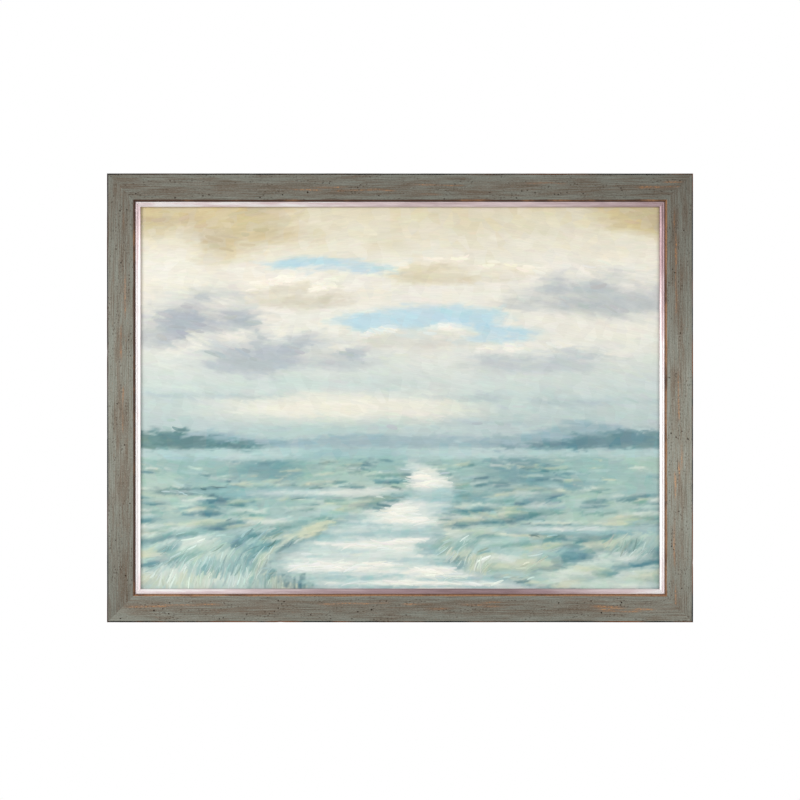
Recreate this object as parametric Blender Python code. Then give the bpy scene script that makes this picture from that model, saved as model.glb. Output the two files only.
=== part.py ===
"""A framed painting on stretched canvas, hung on a wall by a hooked bar behind its top rail.

Units are metres, +Z is up and the picture faces -Y. The wall is the plane Y = 0, and the origin lies at
the middle of the hanging bar's leg, on the face that rests against the wall.

Every bar is drawn as a section of (inset, depth) points. Inset runs from the frame's outer edge
towards the picture, and depth runs from the frame's flat back towards the viewer.
"""

import math

import bmesh
import bpy
from mathutils import Matrix, Vector

# The canvas and the bars that it is stretched over
CANVAS_WIDTH = 1.0668
CANVAS_HEIGHT = 0.7874
CANVAS_THICKNESS = 0.0010
CANVAS_FOLD = 0.0220
BAR_WIDTH = 0.0380
BAR_THICKNESS = 0.0164
BAR_RIM = 0.0070
BAR_SLOPE = 0.0030

# The silver slip, whose lip laps over the edge of the canvas
SLIP_FACE = 0.0127
SLIP_LAP = 0.00635
SLIP_TONGUE = 0.00635
SLIP_LIP = 0.0059
SLIP_BEAD_RISE = 0.0026
SLIP_FACE_RISE = 0.0013
SLIP_GROOVE = 0.0007
SLIP_SIGHT_DROP = 0.0018

# The painted outer moulding
RAIL_FACE = 0.05715
RAIL_DEPTH = 0.0380
RABBET_DEPTH = 0.0270
OUTER_RADIUS = 0.0028
CROWN_RISE = 0.0016
NOSE_RADIUS = 0.0022
INNER_SLOPE = 0.0026
SIGHT_EDGE = 0.0040

# The hanging bar, which holds the frame off the wall, and the bumpers that match it below
STAND_OFF = 0.0050
HANGER_LENGTH = 0.4500
HANGER_GAUGE = 0.0016
HANGER_LEG = 0.0180
HANGER_FLANGE = 0.0160
HANGER_DROP = 0.0320
HANGER_SCREWS = 4
HANGER_END = 0.0450
BUMPER_RADIUS = 0.0060
BUMPER_INSET = 0.0250

# Turn clips, and the screws of both
CLIP_LENGTH = 0.0400
CLIP_WIDTH = 0.0120
CLIP_THICKNESS = 0.0012
CLIP_GRIP = 0.0150
CLIP_SPACING = 0.7200
SCREW_HEAD_RADIUS = 0.0031
SCREW_HEAD_HEIGHT = 0.0019
SCREW_SHANK_RADIUS = 0.0015
SCREW_LENGTH = 0.0130

# Clearances: between pieces that touch, at each mitre, and around the canvas
FIT_GAP = 0.0003
MITRE_GAP = 0.0003
CANVAS_PLAY = 0.0015

# How finely round shapes are faceted
ROUND_SIDES = 16
CROWN_STEPS = 12
BEAD_STEPS = 8
FACE_STEPS = 5
ARC_STEPS = 5
HEAD_STEPS = 3
SHARP_ANGLE = math.radians(35)

# Insets that follow from the sizes above
RABBET_WALL = RAIL_FACE - SLIP_TONGUE
SLIP_SIGHT = RAIL_FACE + SLIP_FACE
CANVAS_EDGE = SLIP_SIGHT - SLIP_LAP
BAR_EDGE = CANVAS_EDGE + CANVAS_THICKNESS + FIT_GAP
HALF_WIDTH = CANVAS_WIDTH / 2 + CANVAS_EDGE
HALF_HEIGHT = CANVAS_HEIGHT / 2 + CANVAS_EDGE
MIDDLE_Z = HANGER_DROP - HALF_HEIGHT

# Depths that follow from the sizes above
SLIP_FRONT = RABBET_DEPTH - FIT_GAP
SLIP_SEAT = SLIP_FRONT - SLIP_LIP
CANVAS_FRONT = SLIP_SEAT - FIT_GAP
BAR_FRONT = CANVAS_FRONT - CANVAS_THICKNESS - FIT_GAP
BAR_BACK = BAR_FRONT - BAR_THICKNESS
CANVAS_BACK = BAR_BACK - FIT_GAP - CANVAS_THICKNESS

SIDES = ("top", "bottom", "left", "right")


def clear_scene():
    for obj in list(bpy.data.objects):
        bpy.data.objects.remove(obj)


def finish(name, colour, roughness, metallic=0.0):
    """A plain material in the colour of the real surface."""
    material = bpy.data.materials.new(name)
    material.use_nodes = True
    shader = material.node_tree.nodes["Principled BSDF"]
    shader.inputs["Base Color"].default_value = (*colour, 1.0)
    shader.inputs["Roughness"].default_value = roughness
    shader.inputs["Metallic"].default_value = metallic
    return material


def add_solid(name, mesh_builder, material):
    """Links one closed mesh, with its faces turned outwards, as a named object."""
    bmesh.ops.recalc_face_normals(mesh_builder, faces=mesh_builder.faces)
    mesh = bpy.data.meshes.new(name)
    mesh_builder.to_mesh(mesh)
    mesh_builder.free()
    mesh.shade_smooth()
    mesh.set_sharp_from_angle(angle=SHARP_ANGLE)
    mesh.materials.append(material)
    obj = bpy.data.objects.new(name, mesh)
    bpy.context.scene.collection.objects.link(obj)
    return obj


def y_at(depth):
    """The Y of a depth, which is counted forwards from the frame's flat back."""
    return -STAND_OFF - depth


def place(side, along, inset, depth):
    """The point on one side of the frame, with along counted from that side's middle."""
    if side == "top":
        return Vector((along, y_at(depth), MIDDLE_Z + HALF_HEIGHT - inset))
    if side == "bottom":
        return Vector((along, y_at(depth), MIDDLE_Z - HALF_HEIGHT + inset))
    if side == "left":
        return Vector((inset - HALF_WIDTH, y_at(depth), MIDDLE_Z + along))
    return Vector((HALF_WIDTH - inset, y_at(depth), MIDDLE_Z + along))


def half_length(side):
    return HALF_WIDTH if side in ("top", "bottom") else HALF_HEIGHT


def mitred_bar(name, side, section, material):
    """A bar of one section, cut at 45 degrees where it meets its neighbours."""
    builder = bmesh.new()
    ends = []
    for way in (-1, 1):
        reach = half_length(side) - MITRE_GAP
        ends.append([builder.verts.new(place(side, way * (reach - w), w, d)) for w, d in section])
    for end in ends:
        builder.faces.new(end)
    bmesh.ops.bridge_loops(builder, edges=[e for e in builder.edges if e.is_boundary])
    return add_solid(name, builder, material)


def arc(centre, radius, start, stop, steps=ARC_STEPS):
    """Points on an arc, with its angles in degrees."""
    turns = [math.radians(start + (stop - start) * i / steps) for i in range(steps + 1)]
    return [(centre[0] + radius * math.cos(t), centre[1] + radius * math.sin(t)) for t in turns]


def rail_section():
    """The outer moulding: a low crowned face, a worn nose and a slope down to the slip."""
    shoulder = RAIL_DEPTH - CROWN_RISE
    nose_end = RAIL_FACE - INNER_SLOPE
    crown_from = OUTER_RADIUS
    crown_to = nose_end - NOSE_RADIUS
    middle = (crown_from + crown_to) / 2
    half_span = (crown_to - crown_from) / 2
    points = [(0.0, 0.0)]
    points += arc((OUTER_RADIUS, shoulder - OUTER_RADIUS), OUTER_RADIUS, 180, 90)
    for i in range(1, CROWN_STEPS):
        w = crown_from + (crown_to - crown_from) * i / CROWN_STEPS
        points.append((w, RAIL_DEPTH - CROWN_RISE * ((w - middle) / half_span) ** 2))
    points += arc((crown_to, shoulder - NOSE_RADIUS), NOSE_RADIUS, 90, 10)
    points += [(RAIL_FACE, RABBET_DEPTH + SIGHT_EDGE), (RAIL_FACE, RABBET_DEPTH)]
    points += [(RABBET_WALL, RABBET_DEPTH), (RABBET_WALL, 0.0)]
    return points


def slip_section():
    """The silver slip: a round bead beside the rail, a groove, and a face that falls to the picture."""
    outer = RABBET_WALL + FIT_GAP
    inner_wall = CANVAS_EDGE - CANVAS_PLAY
    bead_from = RAIL_FACE + FIT_GAP
    bead_radius = (SLIP_SIGHT - bead_from) / 4
    bead_middle = bead_from + bead_radius
    groove = bead_from + 2 * bead_radius
    face_from = groove + SLIP_GROOVE
    points = [(outer, CANVAS_BACK), (outer, SLIP_FRONT)]
    for i in range(BEAD_STEPS + 1):
        t = math.pi * i / BEAD_STEPS
        points.append((bead_middle - bead_radius * math.cos(t), SLIP_FRONT + SLIP_BEAD_RISE * math.sin(t)))
    points.append((groove + SLIP_GROOVE / 2, SLIP_FRONT - SLIP_GROOVE))
    for i in range(FACE_STEPS + 1):
        s = i / FACE_STEPS
        w = face_from + (SLIP_SIGHT - face_from) * s
        points.append((w, SLIP_FRONT + SLIP_FACE_RISE * (1 - s * s) - SLIP_SIGHT_DROP * s * s))
    points.append((SLIP_SIGHT, SLIP_SEAT))
    points.append((inner_wall, SLIP_SEAT))
    points.append((inner_wall, CANVAS_BACK))
    return points


def bar_section():
    """A stretcher bar, whose front falls away from the canvas behind a raised rim."""
    return [
        (BAR_EDGE, BAR_BACK),
        (BAR_EDGE, BAR_FRONT),
        (BAR_EDGE + BAR_RIM, BAR_FRONT),
        (BAR_EDGE + BAR_WIDTH, BAR_FRONT - BAR_SLOPE),
        (BAR_EDGE + BAR_WIDTH, BAR_BACK),
    ]


def stretched_canvas(material):
    """The cloth as one open tray: a front sheet, its wrapped sides and the margin folded to the back."""
    inner = CANVAS_EDGE + CANVAS_THICKNESS
    fold = CANVAS_EDGE + CANVAS_FOLD
    rings = [
        (CANVAS_EDGE, CANVAS_FRONT),
        (CANVAS_EDGE, CANVAS_BACK),
        (fold, CANVAS_BACK),
        (fold, CANVAS_BACK + CANVAS_THICKNESS),
        (inner, CANVAS_BACK + CANVAS_THICKNESS),
        (inner, CANVAS_FRONT - CANVAS_THICKNESS),
    ]
    corners = ((-1, -1), (1, -1), (1, 1), (-1, 1))
    builder = bmesh.new()
    loops = []
    for w, d in rings:
        x, z = HALF_WIDTH - w, HALF_HEIGHT - w
        loops.append([builder.verts.new((sx * x, y_at(d), MIDDLE_Z + sz * z)) for sx, sz in corners])
    for first, second in zip(loops, loops[1:]):
        for i in range(4):
            j = (i + 1) % 4
            builder.faces.new((first[i], first[j], second[j], second[i]))
    builder.faces.new(loops[0])
    builder.faces.new(loops[-1])
    return add_solid("canvas", builder, material)


def strip_of_stations(builder, stations, thickness):
    """A plate from stations of (x, low z, high z, y), closed all round and thickened towards +Y."""
    rows = []
    for x, low, high, y in stations:
        rows.append(
            (
                builder.verts.new((x, y, low)),
                builder.verts.new((x, y, high)),
                builder.verts.new((x, y + thickness, high)),
                builder.verts.new((x, y + thickness, low)),
            )
        )
    for first, second in zip(rows, rows[1:]):
        for i in range(4):
            j = (i + 1) % 4
            builder.faces.new((first[i], first[j], second[j], second[i]))
    builder.faces.new(rows[0])
    builder.faces.new(rows[-1])


def round_end(start, radius, way):
    """Stations of a rounded end that begins at start and grows along way."""
    found = []
    for i in range(1, ARC_STEPS + 1):
        t = math.pi / 2 * i / ARC_STEPS
        found.append((start + way * radius * (1 - math.cos(t)), radius * math.sin(t)))
    return found if way > 0 else found[::-1]


def hanging_bar(name, material):
    """An extruded bar whose flange is screwed to the rail and whose leg hooks down over its wall half."""
    rail_side = y_at(0.0) + FIT_GAP
    flange_face = rail_side + HANGER_GAUGE
    leg_top = HANGER_LEG / 2
    web_under = leg_top - HANGER_GAUGE
    section = [
        (0.0, -leg_top),
        (0.0, leg_top),
        (flange_face, leg_top),
        (flange_face, web_under + HANGER_FLANGE),
        (rail_side, web_under + HANGER_FLANGE),
        (rail_side, web_under),
        (-HANGER_GAUGE, web_under),
        (-HANGER_GAUGE, -leg_top),
    ]
    builder = bmesh.new()
    for x in (-HANGER_LENGTH / 2, HANGER_LENGTH / 2):
        builder.faces.new([builder.verts.new((x, y, z)) for y, z in section])
    bmesh.ops.bridge_loops(builder, edges=[e for e in builder.edges if e.is_boundary])
    return add_solid(name, builder, material)


def turn_clip(name, side, along, material):
    """A stepped clip that is screwed to the rail and holds the canvas in its rebate."""
    radius = CLIP_WIDTH / 2
    inner_end = CANVAS_EDGE + CLIP_GRIP
    outer_end = inner_end - CLIP_LENGTH
    over_rail = FIT_GAP
    over_canvas = FIT_GAP - CANVAS_BACK
    stations = [(w, -z, z, over_rail) for w, z in round_end(outer_end, radius, 1)]
    stations.append((RABBET_WALL + FIT_GAP, -radius, radius, over_rail))
    stations.append((CANVAS_EDGE - FIT_GAP, -radius, radius, over_canvas))
    stations += [(w, -z, z, over_canvas) for w, z in round_end(inner_end, radius, -1)]
    builder = bmesh.new()
    strip_of_stations(builder, stations, CLIP_THICKNESS)
    for vert in builder.verts:
        w, y, across = vert.co
        vert.co = place(side, along + across, w, -y)
    return add_solid(name, builder, material)


def screw(name, point, seat, material):
    """A round-headed screw that goes in along -Y, with its head on a plate whose face is at seat."""
    under_head = seat + FIT_GAP
    profile = [(0.0, under_head + SCREW_HEAD_HEIGHT)]
    for i in range(1, HEAD_STEPS + 1):
        t = math.pi / 2 * i / HEAD_STEPS
        profile.append((SCREW_HEAD_RADIUS * math.sin(t), under_head + SCREW_HEAD_HEIGHT * math.cos(t)))
    profile.append((SCREW_SHANK_RADIUS, under_head))
    tip = under_head - SCREW_LENGTH
    profile.append((SCREW_SHANK_RADIUS, tip + 2 * SCREW_SHANK_RADIUS))
    profile.append((0.0, tip))
    builder = bmesh.new()
    verts = [builder.verts.new((r, y, 0.0)) for r, y in profile]
    edges = [builder.edges.new(pair) for pair in zip(verts, verts[1:])]
    bmesh.ops.spin(
        builder,
        geom=verts + edges,
        cent=(0.0, 0.0, 0.0),
        axis=(0.0, 1.0, 0.0),
        angle=2 * math.pi,
        steps=ROUND_SIDES,
    )
    bmesh.ops.remove_doubles(builder, verts=builder.verts, dist=1e-6)
    bmesh.ops.translate(builder, verts=builder.verts, vec=(point.x, 0.0, point.z))
    return add_solid(name, builder, material)


def round_bar(point, radius, y_from, y_to):
    """A closed cylinder along Y, centred on a point's X and Z."""
    builder = bmesh.new()
    turn = Matrix.Rotation(math.pi / 2, 4, "X")
    at = Matrix.Translation((point.x, (y_from + y_to) / 2, point.z))
    bmesh.ops.create_cone(
        builder,
        cap_ends=True,
        segments=ROUND_SIDES,
        radius1=radius,
        radius2=radius,
        depth=y_to - y_from,
        matrix=at @ turn,
    )
    return builder


def pilot_hole(name, point, seat, cut_from):
    """Drills the screw's hole through its plate and into the rail behind it."""
    builder = round_bar(
        point,
        SCREW_SHANK_RADIUS + FIT_GAP,
        seat - SCREW_LENGTH - FIT_GAP,
        seat + 2 * SCREW_HEAD_HEIGHT,
    )
    bmesh.ops.recalc_face_normals(builder, faces=builder.faces)
    mesh = bpy.data.meshes.new(name)
    builder.to_mesh(mesh)
    builder.free()
    cutter = bpy.data.objects.new(name, mesh)
    cutter.hide_render = True
    cutter.display_type = "WIRE"
    bpy.context.scene.collection.objects.link(cutter)
    for obj in cut_from:
        cut = obj.modifiers.new(name, "BOOLEAN")
        cut.operation = "DIFFERENCE"
        cut.object = cutter


def build():
    clear_scene()
    paint = finish("weathered_grey_paint", (0.190, 0.183, 0.150), 0.62)
    silver = finish("silver_leaf", (0.790, 0.740, 0.745), 0.30, 1.0)
    oils = finish("oil_on_canvas", (0.590, 0.660, 0.590), 0.50)
    pine = finish("bare_pine", (0.620, 0.470, 0.300), 0.75)
    steel = finish("plated_steel", (0.560, 0.560, 0.550), 0.35, 1.0)
    aluminium = finish("mill_aluminium", (0.780, 0.785, 0.790), 0.42, 1.0)
    rubber = finish("grey_rubber", (0.130, 0.130, 0.130), 0.85)

    rails = {side: mitred_bar(f"rail_{side}", side, rail_section(), paint) for side in SIDES}
    for side in SIDES:
        mitred_bar(f"slip_{side}", side, slip_section(), silver)
    stretched_canvas(oils)
    for side in SIDES:
        mitred_bar(f"stretcher_{side}", side, bar_section(), pine)

    bar = hanging_bar("hanging_bar", aluminium)
    seat = y_at(0.0) + FIT_GAP + HANGER_GAUGE
    screw_z = (HANGER_LEG + HANGER_FLANGE - HANGER_GAUGE) / 2
    screw_span = HANGER_LENGTH - 2 * HANGER_END
    for i in range(HANGER_SCREWS):
        x = screw_span * (i / (HANGER_SCREWS - 1) - 0.5)
        point = Vector((x, 0.0, screw_z))
        screw(f"hanging_screw_{i + 1}", point, seat, steel)
        pilot_hole(f"hanging_pilot_{i + 1}", point, seat, [bar, rails["top"]])

    for hand, way in (("left", -1), ("right", 1)):
        point = place("bottom", way * (HALF_WIDTH - BUMPER_INSET), BUMPER_INSET, 0.0)
        add_solid(f"bumper_{hand}", round_bar(point, BUMPER_RADIUS, y_at(0.0) + FIT_GAP, 0.0), rubber)

    screw_inset = (CANVAS_EDGE + CLIP_GRIP - CLIP_LENGTH + RABBET_WALL) / 2
    spots = [(side, way * CLIP_SPACING / 2) for side in ("top", "bottom") for way in (-1, 1)]
    spots += [("left", 0.0), ("right", 0.0)]
    for number, (side, along) in enumerate(spots, start=1):
        clip = turn_clip(f"clip_{number}", side, along, steel)
        point = place(side, along, screw_inset, 0.0)
        seat = y_at(0.0) + FIT_GAP + CLIP_THICKNESS
        screw(f"clip_screw_{number}", point, seat, steel)
        pilot_hole(f"clip_pilot_{number}", point, seat, [clip, rails[side]])


build()
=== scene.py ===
"""A framed painting on stretched canvas: a weathered moulding, a silver slip, and a hooked bar behind."""
import math

import bpy
import numpy as np
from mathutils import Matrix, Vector


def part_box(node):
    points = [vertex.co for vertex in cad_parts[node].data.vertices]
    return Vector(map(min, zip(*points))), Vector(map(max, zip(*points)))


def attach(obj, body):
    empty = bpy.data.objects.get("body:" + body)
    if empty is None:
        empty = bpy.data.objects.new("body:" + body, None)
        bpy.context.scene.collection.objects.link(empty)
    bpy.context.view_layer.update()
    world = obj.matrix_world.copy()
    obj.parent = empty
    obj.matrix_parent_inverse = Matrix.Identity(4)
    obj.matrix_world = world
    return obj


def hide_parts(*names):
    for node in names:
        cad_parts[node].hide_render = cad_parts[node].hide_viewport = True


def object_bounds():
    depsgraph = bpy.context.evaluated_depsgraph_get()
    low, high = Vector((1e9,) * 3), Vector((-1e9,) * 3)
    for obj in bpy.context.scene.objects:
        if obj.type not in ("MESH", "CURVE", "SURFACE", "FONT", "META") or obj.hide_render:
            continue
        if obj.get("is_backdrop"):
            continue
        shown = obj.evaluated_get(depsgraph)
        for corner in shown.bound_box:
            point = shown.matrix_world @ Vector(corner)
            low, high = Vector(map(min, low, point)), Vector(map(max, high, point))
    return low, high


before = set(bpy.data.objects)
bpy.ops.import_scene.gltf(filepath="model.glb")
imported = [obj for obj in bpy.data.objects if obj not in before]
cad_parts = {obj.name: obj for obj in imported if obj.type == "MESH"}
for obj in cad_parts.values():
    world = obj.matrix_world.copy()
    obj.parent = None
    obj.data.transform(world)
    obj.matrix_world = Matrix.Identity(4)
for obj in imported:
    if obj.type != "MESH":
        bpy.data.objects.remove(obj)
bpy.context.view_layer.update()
bpy.ops.object.select_all(action="DESELECT")

# The outer moulding: four lengths of softwood with a low crown, painted grey-green over a brown ground,
# brushed along the grain with wire, rubbed through in places and pricked by woodworm. They meet at plain
# mitres.
half_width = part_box("rail_right")[1].x
half_height = (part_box("rail_top")[1].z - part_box("rail_bottom")[0].z) / 2
middle_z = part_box("rail_top")[1].z - half_height
back_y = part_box("rail_top")[1].y
SIDES = ("top", "bottom", "left", "right")
RAIL_FACE = 0.05715
RAIL_DEPTH = 0.0380
RABBET_WALL = 0.0508
RABBET_DEPTH = 0.0270
SIGHT_EDGE = 0.0310
OUTER_RADIUS = 0.0028
NOSE_RADIUS = 0.0022
CROWN = 0.0016
CROWN_END = RAIL_FACE - 0.0026 - NOSE_RADIUS
GLUE_LINE = 0.00003
REACH = {side: (half_width if side in ("top", "bottom") else half_height) - GLUE_LINE for side in SIDES}
RAIL_ROWS = {"top": 740, "bottom": 740, "left": 566, "right": 566}
DENTS = 9

# Woodworm holes, as millimetres along from the rail's middle and in from its outer edge, and their radius
WORMHOLES = {
    "top": [
        (-538, 41.6, 1.4), (-468, 15, 1.1), (-458, 18, 1.0), (-458, 49.7, 1.5), (-401, 45.6, 1.2),
        (-389, 43.6, 1.3), (-285, 48.9, 1.4), (-278, 44.2, 0.9), (-239, 43.6, 1.3), (-188, 38.5, 1.6),
        (-144, 20, 1.1), (-86, 28.7, 1.2), (-80, 23, 0.9), (-43, 45, 1.2), (90, 52, 1.2), (112, 22, 1.0),
        (183, 39, 1.1), (237, 50, 1.3), (248, 36, 1.3), (259, 34.6, 1.0), (275, 39.5, 1.3),
        (315, 42.4, 1.1), (322, 43.4, 1.3), (327, 40.2, 0.9), (340, 39, 1.0), (373, 41, 1.1),
        (450, 30, 1.3), (452, 34.5, 1.1), (570, 15, 1.2),
    ],
    "bottom": [
        (-569, 8, 1.3), (-501, 24, 1.7), (-483, 28, 1.2), (-479, 19.7, 0.9), (-471, 17.7, 1.3),
        (-469, 40, 1.1), (-368, 7.2, 1.1), (-360, 9.3, 1.2), (-317, 6.9, 1.0), (-312, 16.6, 1.1),
        (-275, 21.7, 1.1), (-266, 17.7, 1.0), (-256, 22, 1.1), (-248, 44.4, 1.3), (-248, 28.9, 1.2),
        (-241, 37.6, 1.1), (-236, 42.5, 1.4), (-182, 15.8, 1.1), (-141, 7.4, 1.0), (-98, 7.4, 1.1),
        (-86, 21.6, 1.4), (-58, 26, 1.8), (-41, 43.5, 1.0), (-28, 43.5, 1.2), (323, 39.7, 1.3),
        (389, 43.9, 1.2), (410, 19.7, 1.6), (449, 35.6, 1.2), (451, 40.5, 1.4),
    ],
    "left": [
        (381, 26.6, 1.3), (383, 40.8, 1.2), (275, 28.6, 1.3), (268, 33, 0.9), (118, 44, 1.1),
        (-12, 21, 1.2), (-96, 36, 1.3), (-104, 31, 1.0), (-215, 47, 1.2), (-290, 18, 1.1), (-362, 38, 1.3),
        (-371, 42, 0.9),
    ],
    "right": [
        (341, 19, 1.2), (262, 42, 1.1), (255, 37, 1.3), (132, 26, 1.2), (41, 48, 1.1), (-68, 22.6, 1.2),
        (-72, 45, 1.4), (-80, 34.8, 1.3), (-84, 10.4, 1.3), (-231, 29, 1.1), (-302, 44, 1.3),
        (-309, 40, 1.0), (-388, 23, 1.2),
    ],
}

# Places rubbed through to the orange wood: from, to and inset in millimetres, and half their width
RUBBED = {
    "top": [
        (-212, -176, 34, 1.2), (-165, -120, 28, 1.2), (-118, -20, 35, 1.6), (40, 118, 24, 1.1),
        (48, 70, 43, 1.0), (262, 330, 20, 1.0), (500, 519, 28, 2.6), (525, 560, 27, 1.4),
        (545, 566, 17, 1.2),
    ],
    "bottom": [
        (-545, -490, 33, 1.7), (-470, -370, 36, 1.2), (-150, -70, 37, 1.3), (-48, -32, 38.6, 1.2),
        (16, 50, 37, 1.5), (70, 86, 27.8, 1.7), (130, 170, 36, 1.1), (181, 191, 31, 1.5),
        (181, 190, 40, 1.3), (409, 442, 31, 2.4), (420, 440, 24, 2.0), (455, 471, 23, 1.8),
        (488, 500, 27, 2.0),
    ],
    "left": [(352, 372, 34, 1.1), (180, 240, 37, 1.1), (-60, 10, 33, 1.0), (90, 130, 29, 1.0)],
    "right": [
        (356, 372, 37.7, 1.7), (180, 330, 35, 1.2), (-134, -114, 23.6, 1.7), (-157, -143, 28.7, 1.6),
        (-188, -167, 36.9, 1.7), (-30, 40, 30, 1.1), (-420, -404, 34.8, 2.0), (-330, -250, 38, 1.2),
    ],
}

# Painted light where the lamps catch each rail, from its left or lower end to the other
PAINTED_LIGHT_ALONG = {
    "top": ((-1.0, -0.6, 0.0, 0.4, 1.0), (0.97, 1.01, 0.97, 1.00, 0.85)),
    "bottom": ((-1.0, -0.6, 0.0, 0.5, 1.0), (1.27, 1.17, 1.08, 1.10, 1.25)),
    "left": ((-1.0, -0.75, -0.4, 0.1, 0.4, 0.7, 1.0), (0.97, 1.13, 1.29, 1.36, 1.29, 1.13, 0.95)),
    "right": ((-1.0, -0.7, -0.35, 0.1, 0.4, 0.7, 1.0), (1.15, 1.43, 1.62, 1.45, 1.18, 0.98, 0.85)),
}


def at_side(side, along, inset, depth):
    """X, Y and Z of points on one side of the frame, by their way along it, in from its edge and forwards."""
    y = back_y - depth
    if side == "top":
        return along, y, middle_z + half_height - inset
    if side == "bottom":
        return along, y, middle_z - half_height + inset
    if side == "left":
        return inset - half_width, y, middle_z + along
    return half_width - inset, y, middle_z + along


def drift(u, v, seed):
    """Smooth random values from -1 to 1 that change once for each whole step of u and v."""
    table = np.random.default_rng(seed).uniform(-1.0, 1.0, (256, 256))
    i = np.floor(u).astype(int)
    j = np.floor(v).astype(int)
    a = u - i
    b = v - j
    a = a * a * (3 - 2 * a)
    b = b * b * (3 - 2 * b)
    near = table[i % 256, j % 256] * (1 - b) + table[i % 256, (j + 1) % 256] * b
    far = table[(i + 1) % 256, j % 256] * (1 - b) + table[(i + 1) % 256, (j + 1) % 256] * b
    return near * (1 - a) + far * a


def ease(value, low, high):
    """Goes softly from 0 to 1 as value goes from low to high, or from high to low if they are reversed."""
    share = np.clip((value - low) / (high - low), 0, 1)
    return share * share * (3 - 2 * share)


def listed(items, field, kind=float, wide=1):
    """One field of all the points, corners or faces of a mesh."""
    values = np.empty(len(items) * wide, dtype=kind)
    items.foreach_get(field, values)
    return values.reshape(-1, wide) if wide > 1 else values


def gridded(name, rows, columns):
    """A flat grid of quads to be shaped point by point, with each point's row and column."""
    bpy.ops.mesh.primitive_grid_add(x_subdivisions=rows, y_subdivisions=columns, size=2)
    piece = bpy.context.object
    piece.name = name
    flat = listed(piece.data.vertices, "co", wide=3)
    row = np.rint((flat[:, 0] + 1) / 2 * rows).astype(int)
    column = np.rint((flat[:, 1] + 1) / 2 * columns).astype(int)
    return piece, row, column


def lay(piece, x, y, z):
    """Moves every point of a mesh to its place."""
    piece.data.vertices.foreach_set("co", np.stack([x, y, z], axis=1).ravel())
    piece.data.update()


def mark(piece, name, values):
    """Keeps a value, or a set of three or four, at every point of a mesh for its material to read."""
    values = np.asarray(values, dtype=np.float32)
    wide = values.shape[1] if values.ndim > 1 else 1
    kind, field = {1: ("FLOAT", "value"), 3: ("FLOAT_VECTOR", "vector"), 4: ("FLOAT_COLOR", "color")}[wide]
    layer = piece.data.attributes.new(name, kind, "POINT")
    layer.data.foreach_set(field, values.ravel())


def strip_map(piece, row, column, rows, across, stacks):
    """A UV map that cuts a long wrapped grid into lengths and lays them one above the other."""
    mesh = piece.data
    mesh.uv_layers[0].name = "OFBake"
    corner = listed(mesh.loops, "vertex_index", int)
    rows_here = row[corner].reshape(-1, 4)
    length = math.ceil(rows / stacks)
    stack = rows_here.min(axis=1, keepdims=True) // length
    u = (rows_here - stack * length) / length * 0.985 + 0.0075
    v = (stack + 0.01 + 0.98 * across[column[corner]].reshape(-1, 4)) / stacks
    mesh.uv_layers[0].data.foreach_set("uv", np.stack([u.ravel(), v.ravel()], axis=1).ravel())


def picked(piece):
    """Makes a piece the only one selected, for the next operator to work on."""
    bpy.ops.object.select_all(action="DESELECT")
    piece.select_set(True)
    bpy.context.view_layer.objects.active = piece


def opened(piece, kind="FACE"):
    """Opens a mesh for editing, with all of it selected."""
    picked(piece)
    bpy.ops.object.mode_set(mode="EDIT")
    bpy.ops.mesh.select_mode(type=kind)
    bpy.ops.mesh.select_all(action="SELECT")


def outwards():
    """Turns all faces of the mesh that is open outwards, and closes it."""
    bpy.ops.mesh.select_all(action="SELECT")
    bpy.ops.mesh.normals_make_consistent(inside=False)
    bpy.ops.object.mode_set(mode="OBJECT")


def closed_tube(piece):
    """Joins the first and last columns of a wrapped grid and caps its two ends."""
    opened(piece, "EDGE")
    bpy.ops.mesh.remove_doubles(threshold=1e-6)
    bpy.ops.mesh.select_all(action="DESELECT")
    bpy.ops.mesh.select_non_manifold()
    bpy.ops.mesh.fill_holes(sides=0)
    outwards()


def smooth(piece, degrees):
    """Shades a piece smooth, apart from edges sharper than this."""
    picked(piece)
    bpy.ops.object.shade_smooth_by_angle(angle=math.radians(degrees))


def linear(red, green, blue):
    """A colour by its usual 0 to 255 values, as a shader takes it."""
    mixed = []
    for value in (red, green, blue):
        part = value / 255
        mixed.append(part / 12.92 if part <= 0.04045 else ((part + 0.055) / 1.055) ** 2.4)
    return (*mixed, 1.0)


def finish(name):
    """A new material, with its node tree and its main shader."""
    material = bpy.data.materials.new(name)
    material.use_nodes = True
    return material, material.node_tree, material.node_tree.nodes["Principled BSDF"]


def node(tree, kind, sockets, **settings):
    """Adds a shader node with its settings, and with a value or a link for each named socket."""
    made = tree.nodes.new("ShaderNode" + kind)
    for name, value in settings.items():
        setattr(made, name, value)
    for key, value in sockets.items():
        if isinstance(value, bpy.types.NodeSocket):
            tree.links.new(value, made.inputs[key])
        else:
            made.inputs[key].default_value = value
    return made


def plus(first, second):
    """One value added to another, in the node tree of the first."""
    return node(first.id_data, "Math", {0: first, 1: second}, operation="ADD").outputs[0]


def less(first, second):
    """One value taken from another."""
    return node(first.id_data, "Math", {0: first, 1: second}, operation="SUBTRACT").outputs[0]


def times(first, second):
    """One value multiplied by another."""
    return node(first.id_data, "Math", {0: first, 1: second}, operation="MULTIPLY").outputs[0]


def between(value, low, high, start=0.0, stop=1.0):
    """Eases from start to stop as the value goes from low to high."""
    limits = {"Value": value, "From Min": low, "From Max": high, "To Min": start, "To Max": stop}
    return node(value.id_data, "MapRange", limits, interpolation_type="SMOOTHSTEP").outputs[0]


def laid_over(amount, under, over):
    """One colour laid over another as far as amount says."""
    return node(amount.id_data, "Mix", {0: amount, 6: under, 7: over}, data_type="RGBA").outputs[2]


def layered(colour, layers):
    """Lays colours on each other in turn, each as its pattern goes from low to high, up to its own share."""
    for pattern, low, high, share, over in layers:
        colour = laid_over(between(pattern, low, high, 0.0, share), colour, linear(*over))
    return colour


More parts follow.
